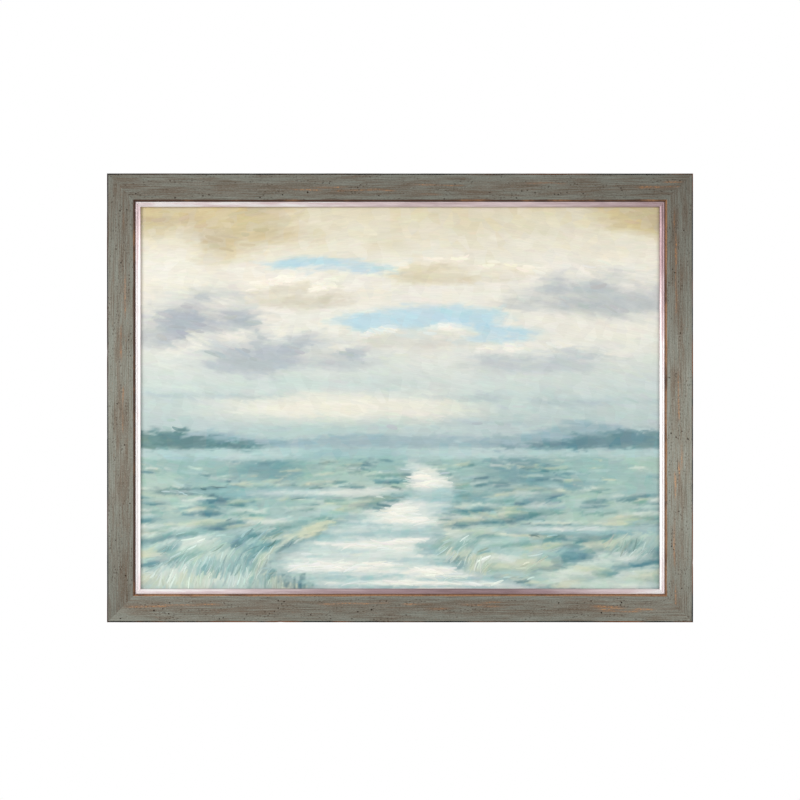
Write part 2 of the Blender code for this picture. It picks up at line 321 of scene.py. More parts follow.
def grained(vector, stretch, detail=3.0, rough=0.55):
    """Noise drawn out by its own amount along each axis."""
    drawn = node(vector.id_data, "Mapping", {"Vector": vector, "Scale": stretch}).outputs[0]
    noise = {"Vector": drawn, "Scale": 1.0, "Detail": detail, "Roughness": rough}
    return node(vector.id_data, "TexNoise", noise).outputs[0]


def kept(tree, name, output="Fac"):
    """Reads what mark() kept at the points."""
    return node(tree, "Attribute", {}, attribute_name=name).outputs[output]


def dress(shader, colour, rough, height, strength, distance):
    """Gives a shader its colour, its roughness and a fine relief of a strength and depth."""
    tree = shader.id_data
    relief = node(tree, "Bump", {"Strength": strength, "Distance": distance, "Height": height}).outputs[0]
    for value, socket in ((colour, "Base Color"), (rough, "Roughness"), (relief, "Normal")):
        tree.links.new(value, shader.inputs[socket])


paint, tree, shader = finish("weathered_paint")
grain = kept(tree, "grain", "Vector")
spots = node(tree, "SeparateXYZ", {0: grain})
around = spots.outputs[1]
inset = spots.outputs[2]
# Painted light: how much lighter the paint is drawn where the lamps catch the rails
painted_light = kept(tree, "light")
# Each side's share of orange: rubbing on the rims, painted light on the inner lips
warmth = kept(tree, "side_wear_and_light")
streak = grained(grain, (15.0, 360.0, 0.0), 5.0, 0.70)
patch = grained(grain, (9.0, 60.0, 0.0), 4.0, 0.6)
fleck = grained(grain, (210.0, 620.0, 0.0), 3.0, 0.65)
crumb = grained(grain, (430.0, 640.0, 0.0), 2.0, 0.6)
line = grained(grain, (13.0, 560.0, 0.0), 2.0, 0.5)
specks = grained(grain, (90.0, 520.0, 0.0), 2.0, 0.5)
shifted = plus(inset, times(less(patch, 0.5), 0.016))
band = times(between(shifted, 0.002, 0.030), between(shifted, 0.049, 0.043))
brownness = times(band, 0.36)
brownness = plus(brownness, between(patch, 0.34, 0.68, -0.12, 0.38))
brownness = plus(brownness, between(streak, 0.34, 0.66, -0.24, 0.42))
# Less brown where the painted light is strongest
brownness = less(brownness, between(painted_light, 1.0, 1.6, 0.0, 0.20))
colour = layered(linear(123, 125, 116), [
    (brownness, -0.1, 1.0, 1.0, (104, 92, 79)),
    (streak, 0.42, 0.30, 0.50, (88, 83, 73)),
    (line, 0.46, 0.32, 0.62, (86, 78, 66)),
    (line, 0.54, 0.70, 0.50, (144, 145, 136)),
    (fleck, 0.54, 0.70, 0.45, (147, 148, 139)),
    (fleck, 0.44, 0.30, 0.56, (82, 75, 64)),
    (crumb, 0.56, 0.72, 0.52, (148, 147, 137)),
    (crumb, 0.44, 0.30, 0.60, (80, 71, 59)),
])
rub = plus(kept(tree, "rub"), between(streak, 0.3, 0.7, -2.2, 2.2))
colour = laid_over(times(between(rub, 1.8, -0.6), 0.38), colour, linear(128, 98, 76))
glints = times(between(rub, 0.0, -1.8), between(fleck, 0.47, 0.60))
colour = laid_over(times(glints, 0.85), colour, linear(186, 134, 86))
colour = layered(colour, [(specks, 0.66, 0.76, 0.55, (138, 104, 80))])

# Pits left by the wire brush, in loose clusters of small dark dots
cells = node(tree, "Mapping", {"Vector": grain, "Scale": (135.0, 240.0, 0.0)}).outputs[0]
dots = node(tree, "TexVoronoi", {"Vector": cells, "Scale": 1.0}, voronoi_dimensions="2D", feature="F1")
chosen = node(tree, "SeparateColor", {0: dots.outputs["Color"]}).outputs[0]
clusters = between(grained(grain, (16.0, 90.0, 0.0), 3.0, 0.6), 0.485, 0.61, 0.06, 1.0)
pits = times(between(dots.outputs["Distance"], 0.33, 0.16), between(chosen, 0.38, 0.50))
pits = times(pits, clusters)
colour = laid_over(times(pits, 0.66), colour, linear(66, 56, 46))
# Painted light: the whole colour drawn lighter along the rails as the lamps catch them
colour = node(tree, "HueSaturation", {"Value": painted_light, "Color": colour}).outputs[0]

# The outer rim and the inner lip, where the paint has gone. Each side has its own share of orange: on the
# rims it is rubbing, and on the inner lips it is painted light, orange on the right and bottom rails and
# dark on the top and left ones.
ragged = plus(inset, between(streak, 0.25, 0.75, -0.0006, 0.0006))
bared = between(grained(grain, (5.0, 0.0, 0.0), 4.0, 0.6), 0.46, 0.58)
bared = times(times(bared, warmth), 0.75)
rim = laid_over(bared, linear(14, 11, 9), linear(142, 86, 48))
rim = layered(rim, [(fleck, 0.50, 0.66, 0.15, (78, 68, 58))])
at_rim = times(between(ragged, 0.0030, 0.0021), between(around, -0.0030, -0.0012))
colour = laid_over(at_rim, colour, rim)
frayed = between(grained(grain, (11.0, 0.0, 0.0), 4.0, 0.6), 0.3, 0.7, -0.60, 0.45)
# The inner lip: painted light by side, orange on the right and bottom rails and dark on the top and left
lip = layered(linear(92, 69, 58), [
    (plus(warmth, frayed), 0.1, 0.9, 1.0, (168, 124, 90)),
    (fleck, 0.52, 0.38, 0.55, (66, 50, 41)),
    # painted shade at the foot of the lip, next to the slip
    (inset, 0.0552, 0.0562, 0.45, (62, 46, 38)),
])
colour = laid_over(between(ragged, 0.0530, 0.0537), colour, lip)
# Wormholes: their insides darkened as painted shade, with a slightly darker ring round each
hole = kept(tree, "hole")
colour = layered(colour, [(hole, 1.2, 0.2, 0.35, (78, 66, 56)), (hole, 0.25, -0.35, 1.0, (48, 39, 32))])
raw = layered(linear(208, 176, 132), [
    (grained(grain, (5.0, 210.0, 0.0), 4.0, 0.6), 0.3, 0.7, 1.0, (166, 126, 86)),
    (grained(grain, (1.3, 9.0, 0.0), 2.0, 0.5), 0.35, 0.65, 0.45, (150, 110, 72)),
    (fleck, 0.50, 0.7, 0.5, (122, 92, 62)),
])
colour = laid_over(kept(tree, "bare"), colour, raw)
relief = plus(times(streak, 1.2), times(fleck, 0.5))
relief = less(relief, times(pits, 0.7))
dress(shader, colour, between(streak, 0.3, 0.7, 0.80, 0.60), relief, 0.6, 0.0005)
shader.inputs["Specular IOR Level"].default_value = 0.12


def stretch_of(start, stop, steps):
    """Points from start towards stop, leaving stop itself to what comes next."""
    share = np.arange(steps)[:, None] / steps
    return np.array(start) * (1 - share) + np.array(stop) * share


def curve_of(centre, radius, start, stop, steps):
    """Points round an arc between two angles in degrees, leaving the last to what comes next."""
    turn = np.radians(start + (stop - start) * np.arange(steps) / steps)
    return np.stack([centre[0] + radius * np.cos(turn), centre[1] + radius * np.sin(turn)], axis=1)


def measured(loop):
    """The way round a closed section to each of its points, and the outward direction there."""
    ahead = np.roll(loop, -1, axis=0) - loop
    behind = loop - np.roll(loop, 1, axis=0)
    way = ahead / np.hypot(*ahead.T)[:, None] + behind / np.hypot(*behind.T)[:, None]
    way /= np.hypot(*way.T)[:, None]
    outward = np.stack([-way[:, 1], way[:, 0]], axis=1)
    round_it = np.concatenate([[0.0], np.cumsum(np.hypot(*ahead.T))])
    return np.vstack([loop, loop[:1]]), np.vstack([outward, outward[:1]]), round_it


# The numbers of the points where parts of the rail's section start, and of its last point
SIDE_STARTS = 13
FACE_STARTS = 25
SLOPE_STARTS = 97
SEAT_STARTS = 103
RAIL_ENDS = 105
shoulder = RAIL_DEPTH - CROWN
crown = stretch_of((OUTER_RADIUS, shoulder), (CROWN_END, shoulder), 62)
crown_middle = (OUTER_RADIUS + CROWN_END) / 2
crown[:, 1] = RAIL_DEPTH - CROWN * ((crown[:, 0] - crown_middle) / (CROWN_END - crown_middle)) ** 2
rail_loop = np.vstack([
    stretch_of((RABBET_WALL, RABBET_DEPTH), (RABBET_WALL, 0.0), 4),
    stretch_of((RABBET_WALL, 0.0), (0.0, 0.0), 9),
    stretch_of((0.0, 0.0), (0.0, shoulder - OUTER_RADIUS), 12),
    curve_of((OUTER_RADIUS, shoulder - OUTER_RADIUS), OUTER_RADIUS, 180, 90, 5),
    crown,
    curve_of((CROWN_END, shoulder - NOSE_RADIUS), NOSE_RADIUS, 90, 10, 5),
    stretch_of((CROWN_END + NOSE_RADIUS, shoulder - NOSE_RADIUS), (RAIL_FACE, SIGHT_EDGE), 4),
    stretch_of((RAIL_FACE, SIGHT_EDGE), (RAIL_FACE, RABBET_DEPTH), 2),
    stretch_of((RAIL_FACE, RABBET_DEPTH), (RABBET_WALL, RABBET_DEPTH), 2),
])
rail_loop, rail_outward, rail_round = measured(rail_loop)
corner_at = rail_round[FACE_STARTS]
turns = [0, SIDE_STARTS, FACE_STARTS, SLOPE_STARTS, RAIL_ENDS]
rail_across = np.interp(rail_round, rail_round[turns], [0.0, 0.16, 0.34, 0.90, 1.0])

for number, side in enumerate(SIDES):
    reach = REACH[side]
    rows = RAIL_ROWS[side]
    holes = np.array(WORMHOLES[side]) / 1000
    even = np.linspace(-1.0, 1.0, 4000)
    crowding = np.ones(4000)
    for hole_along, hole_inset, hole_radius in holes:
        crowding += 1.7 * np.exp(-(((even - hole_along / (reach - hole_inset)) * reach / 0.0035) ** 2))
    filled = np.cumsum(np.minimum(crowding, 2.7))
    station = np.interp(np.linspace(filled[0], filled[-1], rows + 1), filled, even)

    rail, row, column = gridded(f"{side}_moulding", rows, len(rail_loop) - 1)
    inset = rail_loop[column, 0]
    depth = rail_loop[column, 1]
    around = rail_round[column] - corner_at
    along = station[row] * (reach - inset)
    lines = drift(along / 0.055, around / 0.0024, 10 + number)
    sway = drift(along / 0.16, around / 0.013, 20 + number)
    raised = 0.00010 * lines * (0.7 + 0.5 * sway) + 0.00016 * sway
    dents = np.random.default_rng(30 + number)
    for _ in range(DENTS):
        at = dents.uniform(-reach * 0.95, reach * 0.95)
        beside = (along - at) / dents.uniform(0.004, 0.011)
        spot = np.hypot(beside, (inset - dents.uniform(0.0, 0.055)) / 0.004)
        raised -= dents.uniform(0.0002, 0.0006) * np.exp(-spot ** 2)
    worn = np.clip(drift(along / 0.028, around * 0, 40 + number), 0, 1) ** 1.5
    raised -= np.exp(-(((around - 0.002) / 0.0026) ** 2)) * (0.00012 + 0.0006 * worn)
    worn = np.clip(drift(along / 0.035, around * 0, 50 + number), 0, 1) ** 1.5
    raised -= np.exp(-(((around - 0.0555) / 0.0022) ** 2)) * (0.0001 + 0.0004 * worn)
    from_hole = np.full(len(inset), 0.02)
    for hole_along, hole_inset, hole_radius in holes:
        from_hole = np.minimum(from_hole, np.hypot(along - hole_along, inset - hole_inset) - hole_radius)
    on_face = (around > 0.001) & (around < 0.056)
    from_hole = np.where(on_face, from_hole, 0.02)
    raised -= 0.0013 * np.clip(-from_hole / 0.0008, 0, 1)
    from_rub = np.full(len(inset), 30.0)
    for start, stop, rub_inset, half in RUBBED[side]:
        beyond = np.maximum(np.maximum(start - along * 1000, along * 1000 - stop), 0) * 0.16
        sway_in = drift(along / 0.05, along * 0, 60 + number) * 1.4
        from_rub = np.minimum(from_rub, np.hypot(beyond, inset * 1000 - rub_inset + sway_in) - half)
    ends = [0, SIDE_STARTS - 1, SIDE_STARTS, SIDE_STARTS + 1, SEAT_STARTS, RAIL_ENDS]
    painted = np.interp(column, ends, [0.0, 0.3, 0.5, 1.0, 1.0, 0.0])
    raised *= painted
    inset = inset + rail_outward[column, 0] * raised
    depth = depth + rail_outward[column, 1] * raised
    along = station[row] * (reach - inset)
    lay(rail, *at_side(side, along, inset, depth))
    strip_map(rail, row, column, rows, rail_across, 3)
    mark(rail, "grain", np.stack([along + 3.0 * number, around, inset], axis=1))
    mark(rail, "hole", from_hole * 1000)
    mark(rail, "rub", from_rub)
    mark(rail, "bare", np.where(column < SIDE_STARTS, 1.0, 0.0))
    share = along / reach
    # Each side's share of orange: rubbing on the rims, and painted light on the inner lips
    side_wear_and_light_share = {"top": 0.12 + 0.3 * ease(share, 0.1, 0.4), "bottom": 0.95, "left": 0.22, "right": 0.82}[side]
    mark(rail, "side_wear_and_light", np.zeros(len(inset)) + side_wear_and_light_share)
    # Painted light along the rail, strongest on the side rails
    mark(rail, "light", np.interp(share, *PAINTED_LIGHT_ALONG[side]))
    closed_tube(rail)
    smooth(rail, 42)
    rail.data.materials.append(paint)
    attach(rail, "root")
    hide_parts(f"rail_{side}")

# The slip: a narrow inner moulding of softwood, gessoed and covered with silver leaf, with a round bead,
# a groove and a face that falls to the picture. It sits in the rails' rebate, and its leaf is drawn mauve
# and darker in places as painted reflection of the darker surroundings.
FIT = 0.0003
SIGHT = 0.0684
FACE_END = 0.0667
SLIP_FRONT = RABBET_DEPTH - FIT
SLIP_SEAT = SLIP_FRONT - 0.0059
SLIP_BACK = 0.0015
SLIP_WALL = 0.0620
BEAD_FROM = RAIL_FACE + 0.0002
bead_radius = 0.0029
BEAD_RISE = 0.0026
FACE_RISE = 0.0016
EDGE_FALL = 0.0028
SLIP_ROWS = {"top": 240, "bottom": 240, "left": 184, "right": 184}
bead_middle = BEAD_FROM + bead_radius * 0.6
GROOVE_WIDTH = 0.0006
groove_from = bead_middle + bead_radius * math.cos(math.radians(38))
face_from = groove_from + GROOVE_WIDTH

silver, tree, shader = finish("silver_leaf")
leaf = kept(tree, "grain", "Vector")
# Painted reflection: the leaf drawn mauve and darker where it would mirror the darker surroundings
painted_reflection = plus(kept(tree, "painted_reflection"), between(grained(leaf, (16.0, 130.0, 0.0)), 0.3, 0.7, -0.13, 0.13))
fine = grained(leaf, (240.0, 900.0, 0.0), 3.0, 0.6)
colour = layered(linear(255, 252, 251), [
    (painted_reflection, 0.0, 0.30, 1.0, (240, 223, 224)),
    (painted_reflection, 0.15, 1.0, 1.0, (178, 152, 156)),
    (painted_reflection, 1.0, 1.6, 1.0, (136, 113, 115)),
    (fine, 0.60, 0.74, 0.35, (232, 204, 196)),
])
# Painted shade in the groove and on the inner edge where it falls to the picture
colour = laid_over(kept(tree, "groove"), colour, linear(150, 124, 128))
raw = laid_over(grained(leaf, (5.0, 210.0, 0.0), 4.0, 0.6), linear(206, 172, 126), linear(158, 118, 78))
colour = laid_over(kept(tree, "bare"), colour, raw)
tree.links.new(between(kept(tree, "bare"), 0.0, 1.0, 0.80, 0.0), shader.inputs["Metallic"])
rough = plus(between(fine, 0.3, 0.7, 0.42, 0.54), times(kept(tree, "bare"), 0.3))
dress(shader, colour, rough, grained(leaf, (60.0, 260.0, 0.0)), 0.3, 0.0002)

bead = curve_of((bead_middle, SLIP_FRONT), 1.0, 127, 38, 14)
bead[:, 0] = bead_middle + (bead[:, 0] - bead_middle) * bead_radius
bead[:, 1] = SLIP_FRONT + (bead[:, 1] - SLIP_FRONT) * BEAD_RISE
fall = stretch_of((face_from, 0.0), (FACE_END, 0.0), 7)
share = (fall[:, 0] - face_from) / (FACE_END - face_from)
fall[:, 1] = SLIP_FRONT + FACE_RISE - 0.0018 * share ** 2
inner_edge = curve_of((FACE_END, SLIP_FRONT - EDGE_FALL), 1.0, 90, 0, 4)
inner_edge[:, 0] = FACE_END + (inner_edge[:, 0] - FACE_END) * (SIGHT - FACE_END)
inner_edge[:, 1] = SLIP_FRONT - EDGE_FALL + (inner_edge[:, 1] - SLIP_FRONT + EDGE_FALL) * 0.0026
inner_wall = RABBET_WALL + FIT
groove = (groove_from + GROOVE_WIDTH / 2, SLIP_FRONT + 0.0012)
slip_loop = np.vstack([
    stretch_of((SLIP_WALL, SLIP_SEAT), (SLIP_WALL, SLIP_BACK), 3),
    stretch_of((SLIP_WALL, SLIP_BACK), (inner_wall, SLIP_BACK), 3),
    stretch_of((inner_wall, SLIP_BACK), (inner_wall, SLIP_FRONT), 3),
    stretch_of((inner_wall, SLIP_FRONT), (BEAD_FROM, SLIP_FRONT), 2),
    bead,
    stretch_of((groove_from, SLIP_FRONT + FACE_RISE), groove, 2),
    stretch_of(groove, (face_from, SLIP_FRONT + FACE_RISE), 2),
    fall,
    inner_edge,
    stretch_of((SIGHT, SLIP_FRONT - EDGE_FALL), (SIGHT, SLIP_SEAT), 2),
    stretch_of((SIGHT, SLIP_SEAT), (SLIP_WALL, SLIP_SEAT), 2),
])
# The numbers of the points where parts of the slip's section start, and of its last point
FRONT_STARTS = 9
BEAD_STARTS = 11
GROOVE_STARTS = 25
FALL_STARTS = 29
EDGE_STARTS = 36
EDGE_ENDS = 40
UNDERSIDE_STARTS = 42
SLIP_ENDS = 44
slip_loop, slip_outward, slip_round = measured(slip_loop)
turns = [0, BEAD_STARTS, UNDERSIDE_STARTS, SLIP_ENDS]
slip_across = np.interp(slip_round, slip_round[turns], [0.0, 0.3, 0.9, 1.0])

# How far each length's leaf is drawn mauve and darker as painted reflection, from its left or lower end on
REFLECTED_TONE = {
    "top": (
        (-1.0, -0.4, -0.25, -0.08, 0.08, 0.30, 0.42, 0.58, 0.75, 0.92, 1.0),
        (0.15, 0.17, 0.26, 0.35, 0.48, 0.40, 0.37, 0.51, 0.58, 0.74, 0.80),
    ),
    "bottom": (
        (-0.92, -0.75, -0.58, -0.42, -0.25, -0.08, 0.08, 0.25, 0.42, 0.58, 0.75, 0.92),
        (0.10, 0.18, 0.38, 0.62, 0.80, 0.92, 1.20, 1.27, 1.23, 0.82, 0.46, 0.16),
    ),
    "left": ((-1.0, -0.92, -0.80, 0.60, 0.75, 0.92, 1.0), (0.16, 0.10, 0.0, 0.02, 0.18, 0.50, 0.62)),
    "right": (
        (-0.92, -0.80, 0.10, 0.25, 0.42, 0.58, 0.75, 0.92, 1.0),
        (0.10, 0.0, 0.0, 0.14, 0.46, 0.70, 0.92, 1.25, 1.3),
    ),
}

for number, side in enumerate(SIDES):
    reach = REACH[side]
    rows = SLIP_ROWS[side]
    slip, row, column = gridded(f"{side}_slip", rows, len(slip_loop) - 1)
    inset = slip_loop[column, 0]
    depth = slip_loop[column, 1]
    share = 2 * row / rows - 1
    along = share * (reach - inset)
    shown = (column > BEAD_STARTS) & (column < EDGE_ENDS)
    raised = np.where(shown, 0.00006 * drift(along / 0.02, column / 5, 70 + number), 0.0)
    inset = inset + slip_outward[column, 0] * raised
    depth = depth + slip_outward[column, 1] * raised
    along = share * (reach - inset)
    lay(slip, *at_side(side, along, inset, depth))
    strip_map(slip, row, column, rows, slip_across, 4)
    mark(slip, "grain", np.stack([along + 3.0 * number, slip_round[column], inset], axis=1))
    mark(slip, "bare", np.where(column < FRONT_STARTS, 1.0, 0.0))
    # Painted shade: a little in the groove, and more on the inner edge as it falls to the picture
    turns = [GROOVE_STARTS, GROOVE_STARTS + 1, FALL_STARTS - 1, FALL_STARTS,
             EDGE_STARTS, EDGE_ENDS - 2, EDGE_ENDS - 1, UNDERSIDE_STARTS]
    shade = np.interp(column, turns, [0.0, 0.12, 0.12, 0.0, 0.0, 0.35, 0.55, 0.75])
    mark(slip, "groove", shade)
    mark(slip, "painted_reflection", np.interp(share, *REFLECTED_TONE[side]))
    closed_tube(slip)
    smooth(slip, 50)
    slip.data.materials.append(silver)
    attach(slip, "root")
    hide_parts(f"slip_{side}")


# The stretcher: four planed pine bars with a raised rim, mitred, that the cloth is pulled over. Their
# grain runs along each bar.
def pine(name, stretch):
    """Planed pine, with its grain drawn out along one axis."""
    material, tree, shader = finish(name)
    place = node(tree, "TexCoord", {}).outputs["Object"]
    rings = grained(place, stretch, 4.0, 0.62)
    pores = grained(place, [value * 4.5 for value in stretch], 2.0, 0.5)
    warmth = grained(place, [value * 0.2 for value in stretch], 2.0, 0.5)
    knots = node(tree, "TexVoronoi", {"Vector": place, "Scale": 9.0}, feature="F1").outputs[0]
    colour = layered(linear(216, 186, 142), [
        (rings, 0.36, 0.64, 1.0, (182, 140, 96)),
        (warmth, 0.4, 0.7, 0.4, (170, 126, 84)),
        (pores, 0.58, 0.74, 0.5, (140, 102, 66)),
        (knots, 0.10, 0.05, 1.0, (112, 72, 42)),
    ])
    dress(shader, colour, between(pores, 0.3, 0.7, 0.62, 0.80), rings, 0.4, 0.0004)
    return material


lengthways_pine = pine("bare_pine_lengthways", (5.0, 160.0, 160.0))
upright_pine = pine("bare_pine_upright", (160.0, 160.0, 5.0))
for side in SIDES:
    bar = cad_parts[f"stretcher_{side}"]
    bar.data.materials.clear()
    bar.data.materials.append(lengthways_pine if side in ("top", "bottom") else upright_pine)

# The canvas: cotton duck, primed and painted in oils, pulled over the bars with its margin folded to
# their backs. The picture is a generic calm marsh under a cloudy sky, built up in soft strokes.
cloth_low, cloth_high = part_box("canvas")
cloth_half_w = cloth_high.x
cloth_half_h = (cloth_high.z - cloth_low.z) / 2
cloth_front = cloth_low.y
CLOTH = 0.0010
MARGIN = 0.0220
SPECK = 0.0014
tall = round(2 * cloth_half_h / SPECK)
wide = round(2 * cloth_half_w / SPECK)
down, over = np.mgrid[0:tall, 0:wide]
u = (over + 0.5) / wide
v = (down + 0.5) / tall


def clouded(u, v, seed, steps):
    """Drift in five sizes laid over each other, from about -1 to 1."""
    total = np.zeros_like(u)
    for size in range(5):
        finer = 2 ** size
        total += drift(u * steps * finer + 7.3 * size, v * steps * finer * 0.74, seed + size) / 1.8 ** size
    return total / 1.6


def wash(picture, amount, colour):
    """Lays a colour over the picture as far as amount says at each point."""
    amount = np.clip(amount, 0, 1)[..., None]
    return picture * (1 - amount) + np.array(colour, dtype=float) * amount
def washed(picture, layers):
    """Lays colours over the picture in turn."""
    for amount, colour in layers:
        picture = wash(picture, amount, colour)
    return picture


def oval(at_u, at_v, wide_u, tall_v):
    """How far each point of the picture lies from the middle of an oval, which is 1 at its outline."""
    return np.hypot((u - at_u) / wide_u, (v - at_v) / tall_v)
# The washes that the picture starts from, and how far down each of them lies
WASHES = [
    (0.02, (222, 213, 185)), (0.16, (236, 232, 218)), (0.34, (234, 232, 220)), (0.47, (205, 217, 212)),
    (0.58, (186, 204, 202)), (0.74, (170, 197, 194)), (0.95, (198, 213, 206)),
]
heights = [height for height, tone in WASHES]
tones = np.array([tone for height, tone in WASHES], dtype=float)
ragged = clouded(u, v, 100, 5)
lifted = v + 0.03 * ragged
picture = np.stack([np.interp(lifted, heights, tones[:, i]) for i in range(3)], axis=2)
horizon = 0.625
fray = clouded(u, v * 1.3, 103, 12)


def heaped(picture, at, size, lit, shade, cover, under=1.0):
    """Lays one rounded form on the picture, lit from the upper left, with a frayed outline."""
    top = max(0, int((at[1] - 1.6 * size[1]) * tall))
    left = max(0, int((at[0] - 1.6 * size[0]) * wide))
    part = np.s_[top:int((at[1] + 1.6 * size[1]) * tall) + 1, left:int((at[0] + 1.6 * size[0]) * wide) + 1]
    spot = picture[part]
    right = (u[part] - at[0]) / size[0]
    below = (v[part] - at[1]) / size[1]
    below = np.where(below > 0, below * under, below)
    body = cover * ease(np.hypot(right, below) + 0.55 * fray[part], 1.12, 0.72)
    glow = ease(-0.42 * right - 0.85 * below + 0.75 * fray[part], -0.75, 0.80)
    tone = np.array(shade) * (1 - glow)[..., None] + np.array(lit) * glow[..., None]
    spot += body[..., None] * (tone - spot)


# Sky: an ochre veil at the top, a few blue openings, then heaped clouds lit from the left with flat bases
veil = ease(v + 0.08 * ragged, 0.15, 0.06) * ease(clouded(u, v * 2.0, 105, 4), -0.12, 0.28)
picture = washed(picture, [
    (0.9 * veil, (208, 192, 150)),
    (0.6 * veil * ease(clouded(u, v * 2.0, 107, 8), 0.0, 0.5), (186, 172, 142)),
])
OPENINGS = [
    (0.50, 0.300, 0.17, 0.030), (0.66, 0.335, 0.13, 0.020),
    (0.36, 0.150, 0.10, 0.013), (0.45, 0.165, 0.06, 0.010),
]
torn = 0.9 * clouded(u, v * 2.4, 108, 6)
for at_u, at_v, wide_u, tall_v in OPENINGS:
    opening = np.hypot((u - at_u + 0.5 * (v - at_v)) / wide_u, (v - at_v) / tall_v) + torn
    picture = wash(picture, 0.85 * ease(opening, 1.15, 0.5), (182, 215, 228))
chance = np.random.default_rng(112)
LUMPS = 15
BANKS = [
    (0.62, 0.175, 0.13, 0.040, (246, 240, 222), (218, 209, 183)),
    (0.88, 0.225, 0.17, 0.075, (243, 238, 224), (184, 191, 193)),
    (0.30, 0.235, 0.12, 0.045, (246, 241, 225), (208, 202, 182)),
    (0.07, 0.300, 0.15, 0.100, (240, 235, 219), (172, 181, 187)),
    (0.24, 0.385, 0.17, 0.060, (238, 235, 221), (180, 189, 194)),
    (0.78, 0.400, 0.15, 0.045, (242, 239, 226), (192, 201, 203)),
    (0.55, 0.345, 0.11, 0.034, (247, 242, 228), (214, 214, 203)),
]
for at_u, at_v, wide_u, tall_v, lit, shade in BANKS:
    body = oval(at_u, at_v, wide_u * 1.25, tall_v * 0.9) + 0.5 * fray
    picture = wash(picture, 0.75 * ease(body, 1.1, 0.5), np.array(shade) * 0.6 + np.array(lit) * 0.4)
    for _ in range(LUMPS):
        across = chance.uniform(-1, 1)
        lump = chance.uniform(0.30, 0.62) * (1 - 0.45 * across ** 2)
        at = (at_u + across * wide_u, at_v - tall_v * (0.75 - 0.75 * across ** 2) * chance.uniform(0.2, 1.0))
        heaped(picture, at, (lump * tall_v * 1.5, lump * tall_v * 1.25), lit, shade, 0.85, 1.3)
    base = np.hypot((u - at_u) / (wide_u * 1.15), (v - at_v - 0.45 * tall_v) / (tall_v * 0.42)) + 0.45 * fray
    picture = wash(picture, 0.80 * ease(base, 1.1, 0.35), np.array(shade) - 2)
glow = oval(0.37, 0.525, 0.30, 0.055) + 0.3 * ragged
picture = wash(picture, 0.85 * ease(glow, 1.15, 0.3), (245, 239, 221))
BARS = [(0.15, 0.490, 0.16), (0.60, 0.495, 0.14), (0.86, 0.505, 0.15), (0.66, 0.560, 0.15)]
for number, (at_u, at_v, wide_u) in enumerate(BARS):
    billow = clouded(u, v * 2.5, 170 + 6 * number, 9)
    body = 1.0 - oval(at_u, at_v, wide_u, 0.018) + 0.55 * billow
    bar = 0.65 * ease(body, 0.1, 0.6) * ease(v, at_v - 0.008, at_v + 0.008)
    picture = wash(picture, bar, (170, 188, 192))

# Land: two ranges of misty hills, a wooded point on the left and a headland on the right
ridge = horizon - 0.024 - 0.016 * drift(u * 7, v * 0, 180) - 0.030 * np.exp(-(((u - 0.84) / 0.15) ** 2))
hills = 0.80 * ease(v, ridge - 0.003, ridge + 0.002) * ease(v, horizon + 0.008, horizon)
ridge = horizon + 0.002 - 0.046 * ease(u, 0.70, 0.97) - 0.010 * drift(u * 19, v * 0, 181)
headland = ease(v, ridge - 0.002, ridge + 0.002) * ease(u, 0.66, 0.74)
headland = headland * ease(v, horizon + 0.012, horizon + 0.006)
ridge = horizon + 0.004 - 0.034 * ease(u, 0.25, 0.05) - 0.018 * np.abs(drift(u * 34, v * 0, 182))
point = ease(v, ridge - 0.002, ridge + 0.002) * ease(u, 0.28, 0.22)
point = point * ease(v, horizon + 0.014, horizon + 0.008)
picture = washed(picture, [
    (hills, (150, 177, 185)),
    (0.95 * headland, (98, 136, 146)),
    (0.6 * headland * ease(clouded(u, v * 2, 184, 16), 0.0, 0.4), (128, 160, 158)),
    (0.95 * point, (92, 130, 134)),
    (0.6 * point * ease(clouded(u, v * 2, 186, 20), 0.0, 0.4), (130, 160, 146)),
])

# Marsh: a sheet of far water, banks of grass, and a pale creek that winds down between them
below = ease(v, horizon + 0.004, horizon + 0.009)
way_down = np.clip((v - horizon) / (1 - horizon), 0, 1)
far_off = 1.0 - 0.6 * way_down
bands = drift(u * 5 + 3, v * 85 * far_off, 190) * 0.6 + drift(u * 12, v * 170 * far_off, 191) * 0.45
picture = washed(picture, [
    (below, (180, 206, 204)),
    (below * ease(bands, 0.0, 0.45) * 0.75, (216, 227, 221)),
    (below * ease(bands, -0.15, -0.6) * 0.75, (132, 170, 176)),
])
creek_middle = 0.47 + 0.17 * np.sin(way_down * 6.2 + 0.2) * (0.20 + 0.80 * way_down) + 0.10 * way_down
creek_half = 0.010 + 0.22 * way_down ** 1.5
shore = clouded(u, v * 2.4, 195, 7)
off_creek = (np.abs(u - creek_middle) - creek_half) / (0.25 + way_down) + 0.040 * shore
for spit in (oval(0.30, 0.745, 0.22, 0.012), oval(0.86, 0.842, 0.16, 0.012)):
    off_creek = np.minimum(off_creek, 0.05 * (spit + 0.5 * shore - 1.0))
bank = ease(off_creek, 0.0, 0.008) * ease(v + 0.010 * shore, horizon + 0.030, horizon + 0.036)
meadow = washed(np.zeros_like(picture) + np.array((150, 184, 180.0)), [
    (0.8 * ease(clouded(u, v * 3.0, 206, 6), 0.0, 0.5), (172, 199, 184)),
    (0.7 * ease(clouded(u, v * 3.0, 209, 4), -0.05, -0.5), (94, 140, 150)),
    (0.42 * way_down, (206, 221, 212)),
])
TUSSOCKS = 380
LIT_GRASS = [(206, 224, 212), (218, 222, 194), (188, 214, 208), (230, 236, 224)]
DARK_GRASS = [(74, 122, 130), (98, 142, 138), (64, 110, 124)]
chance = np.random.default_rng(215)
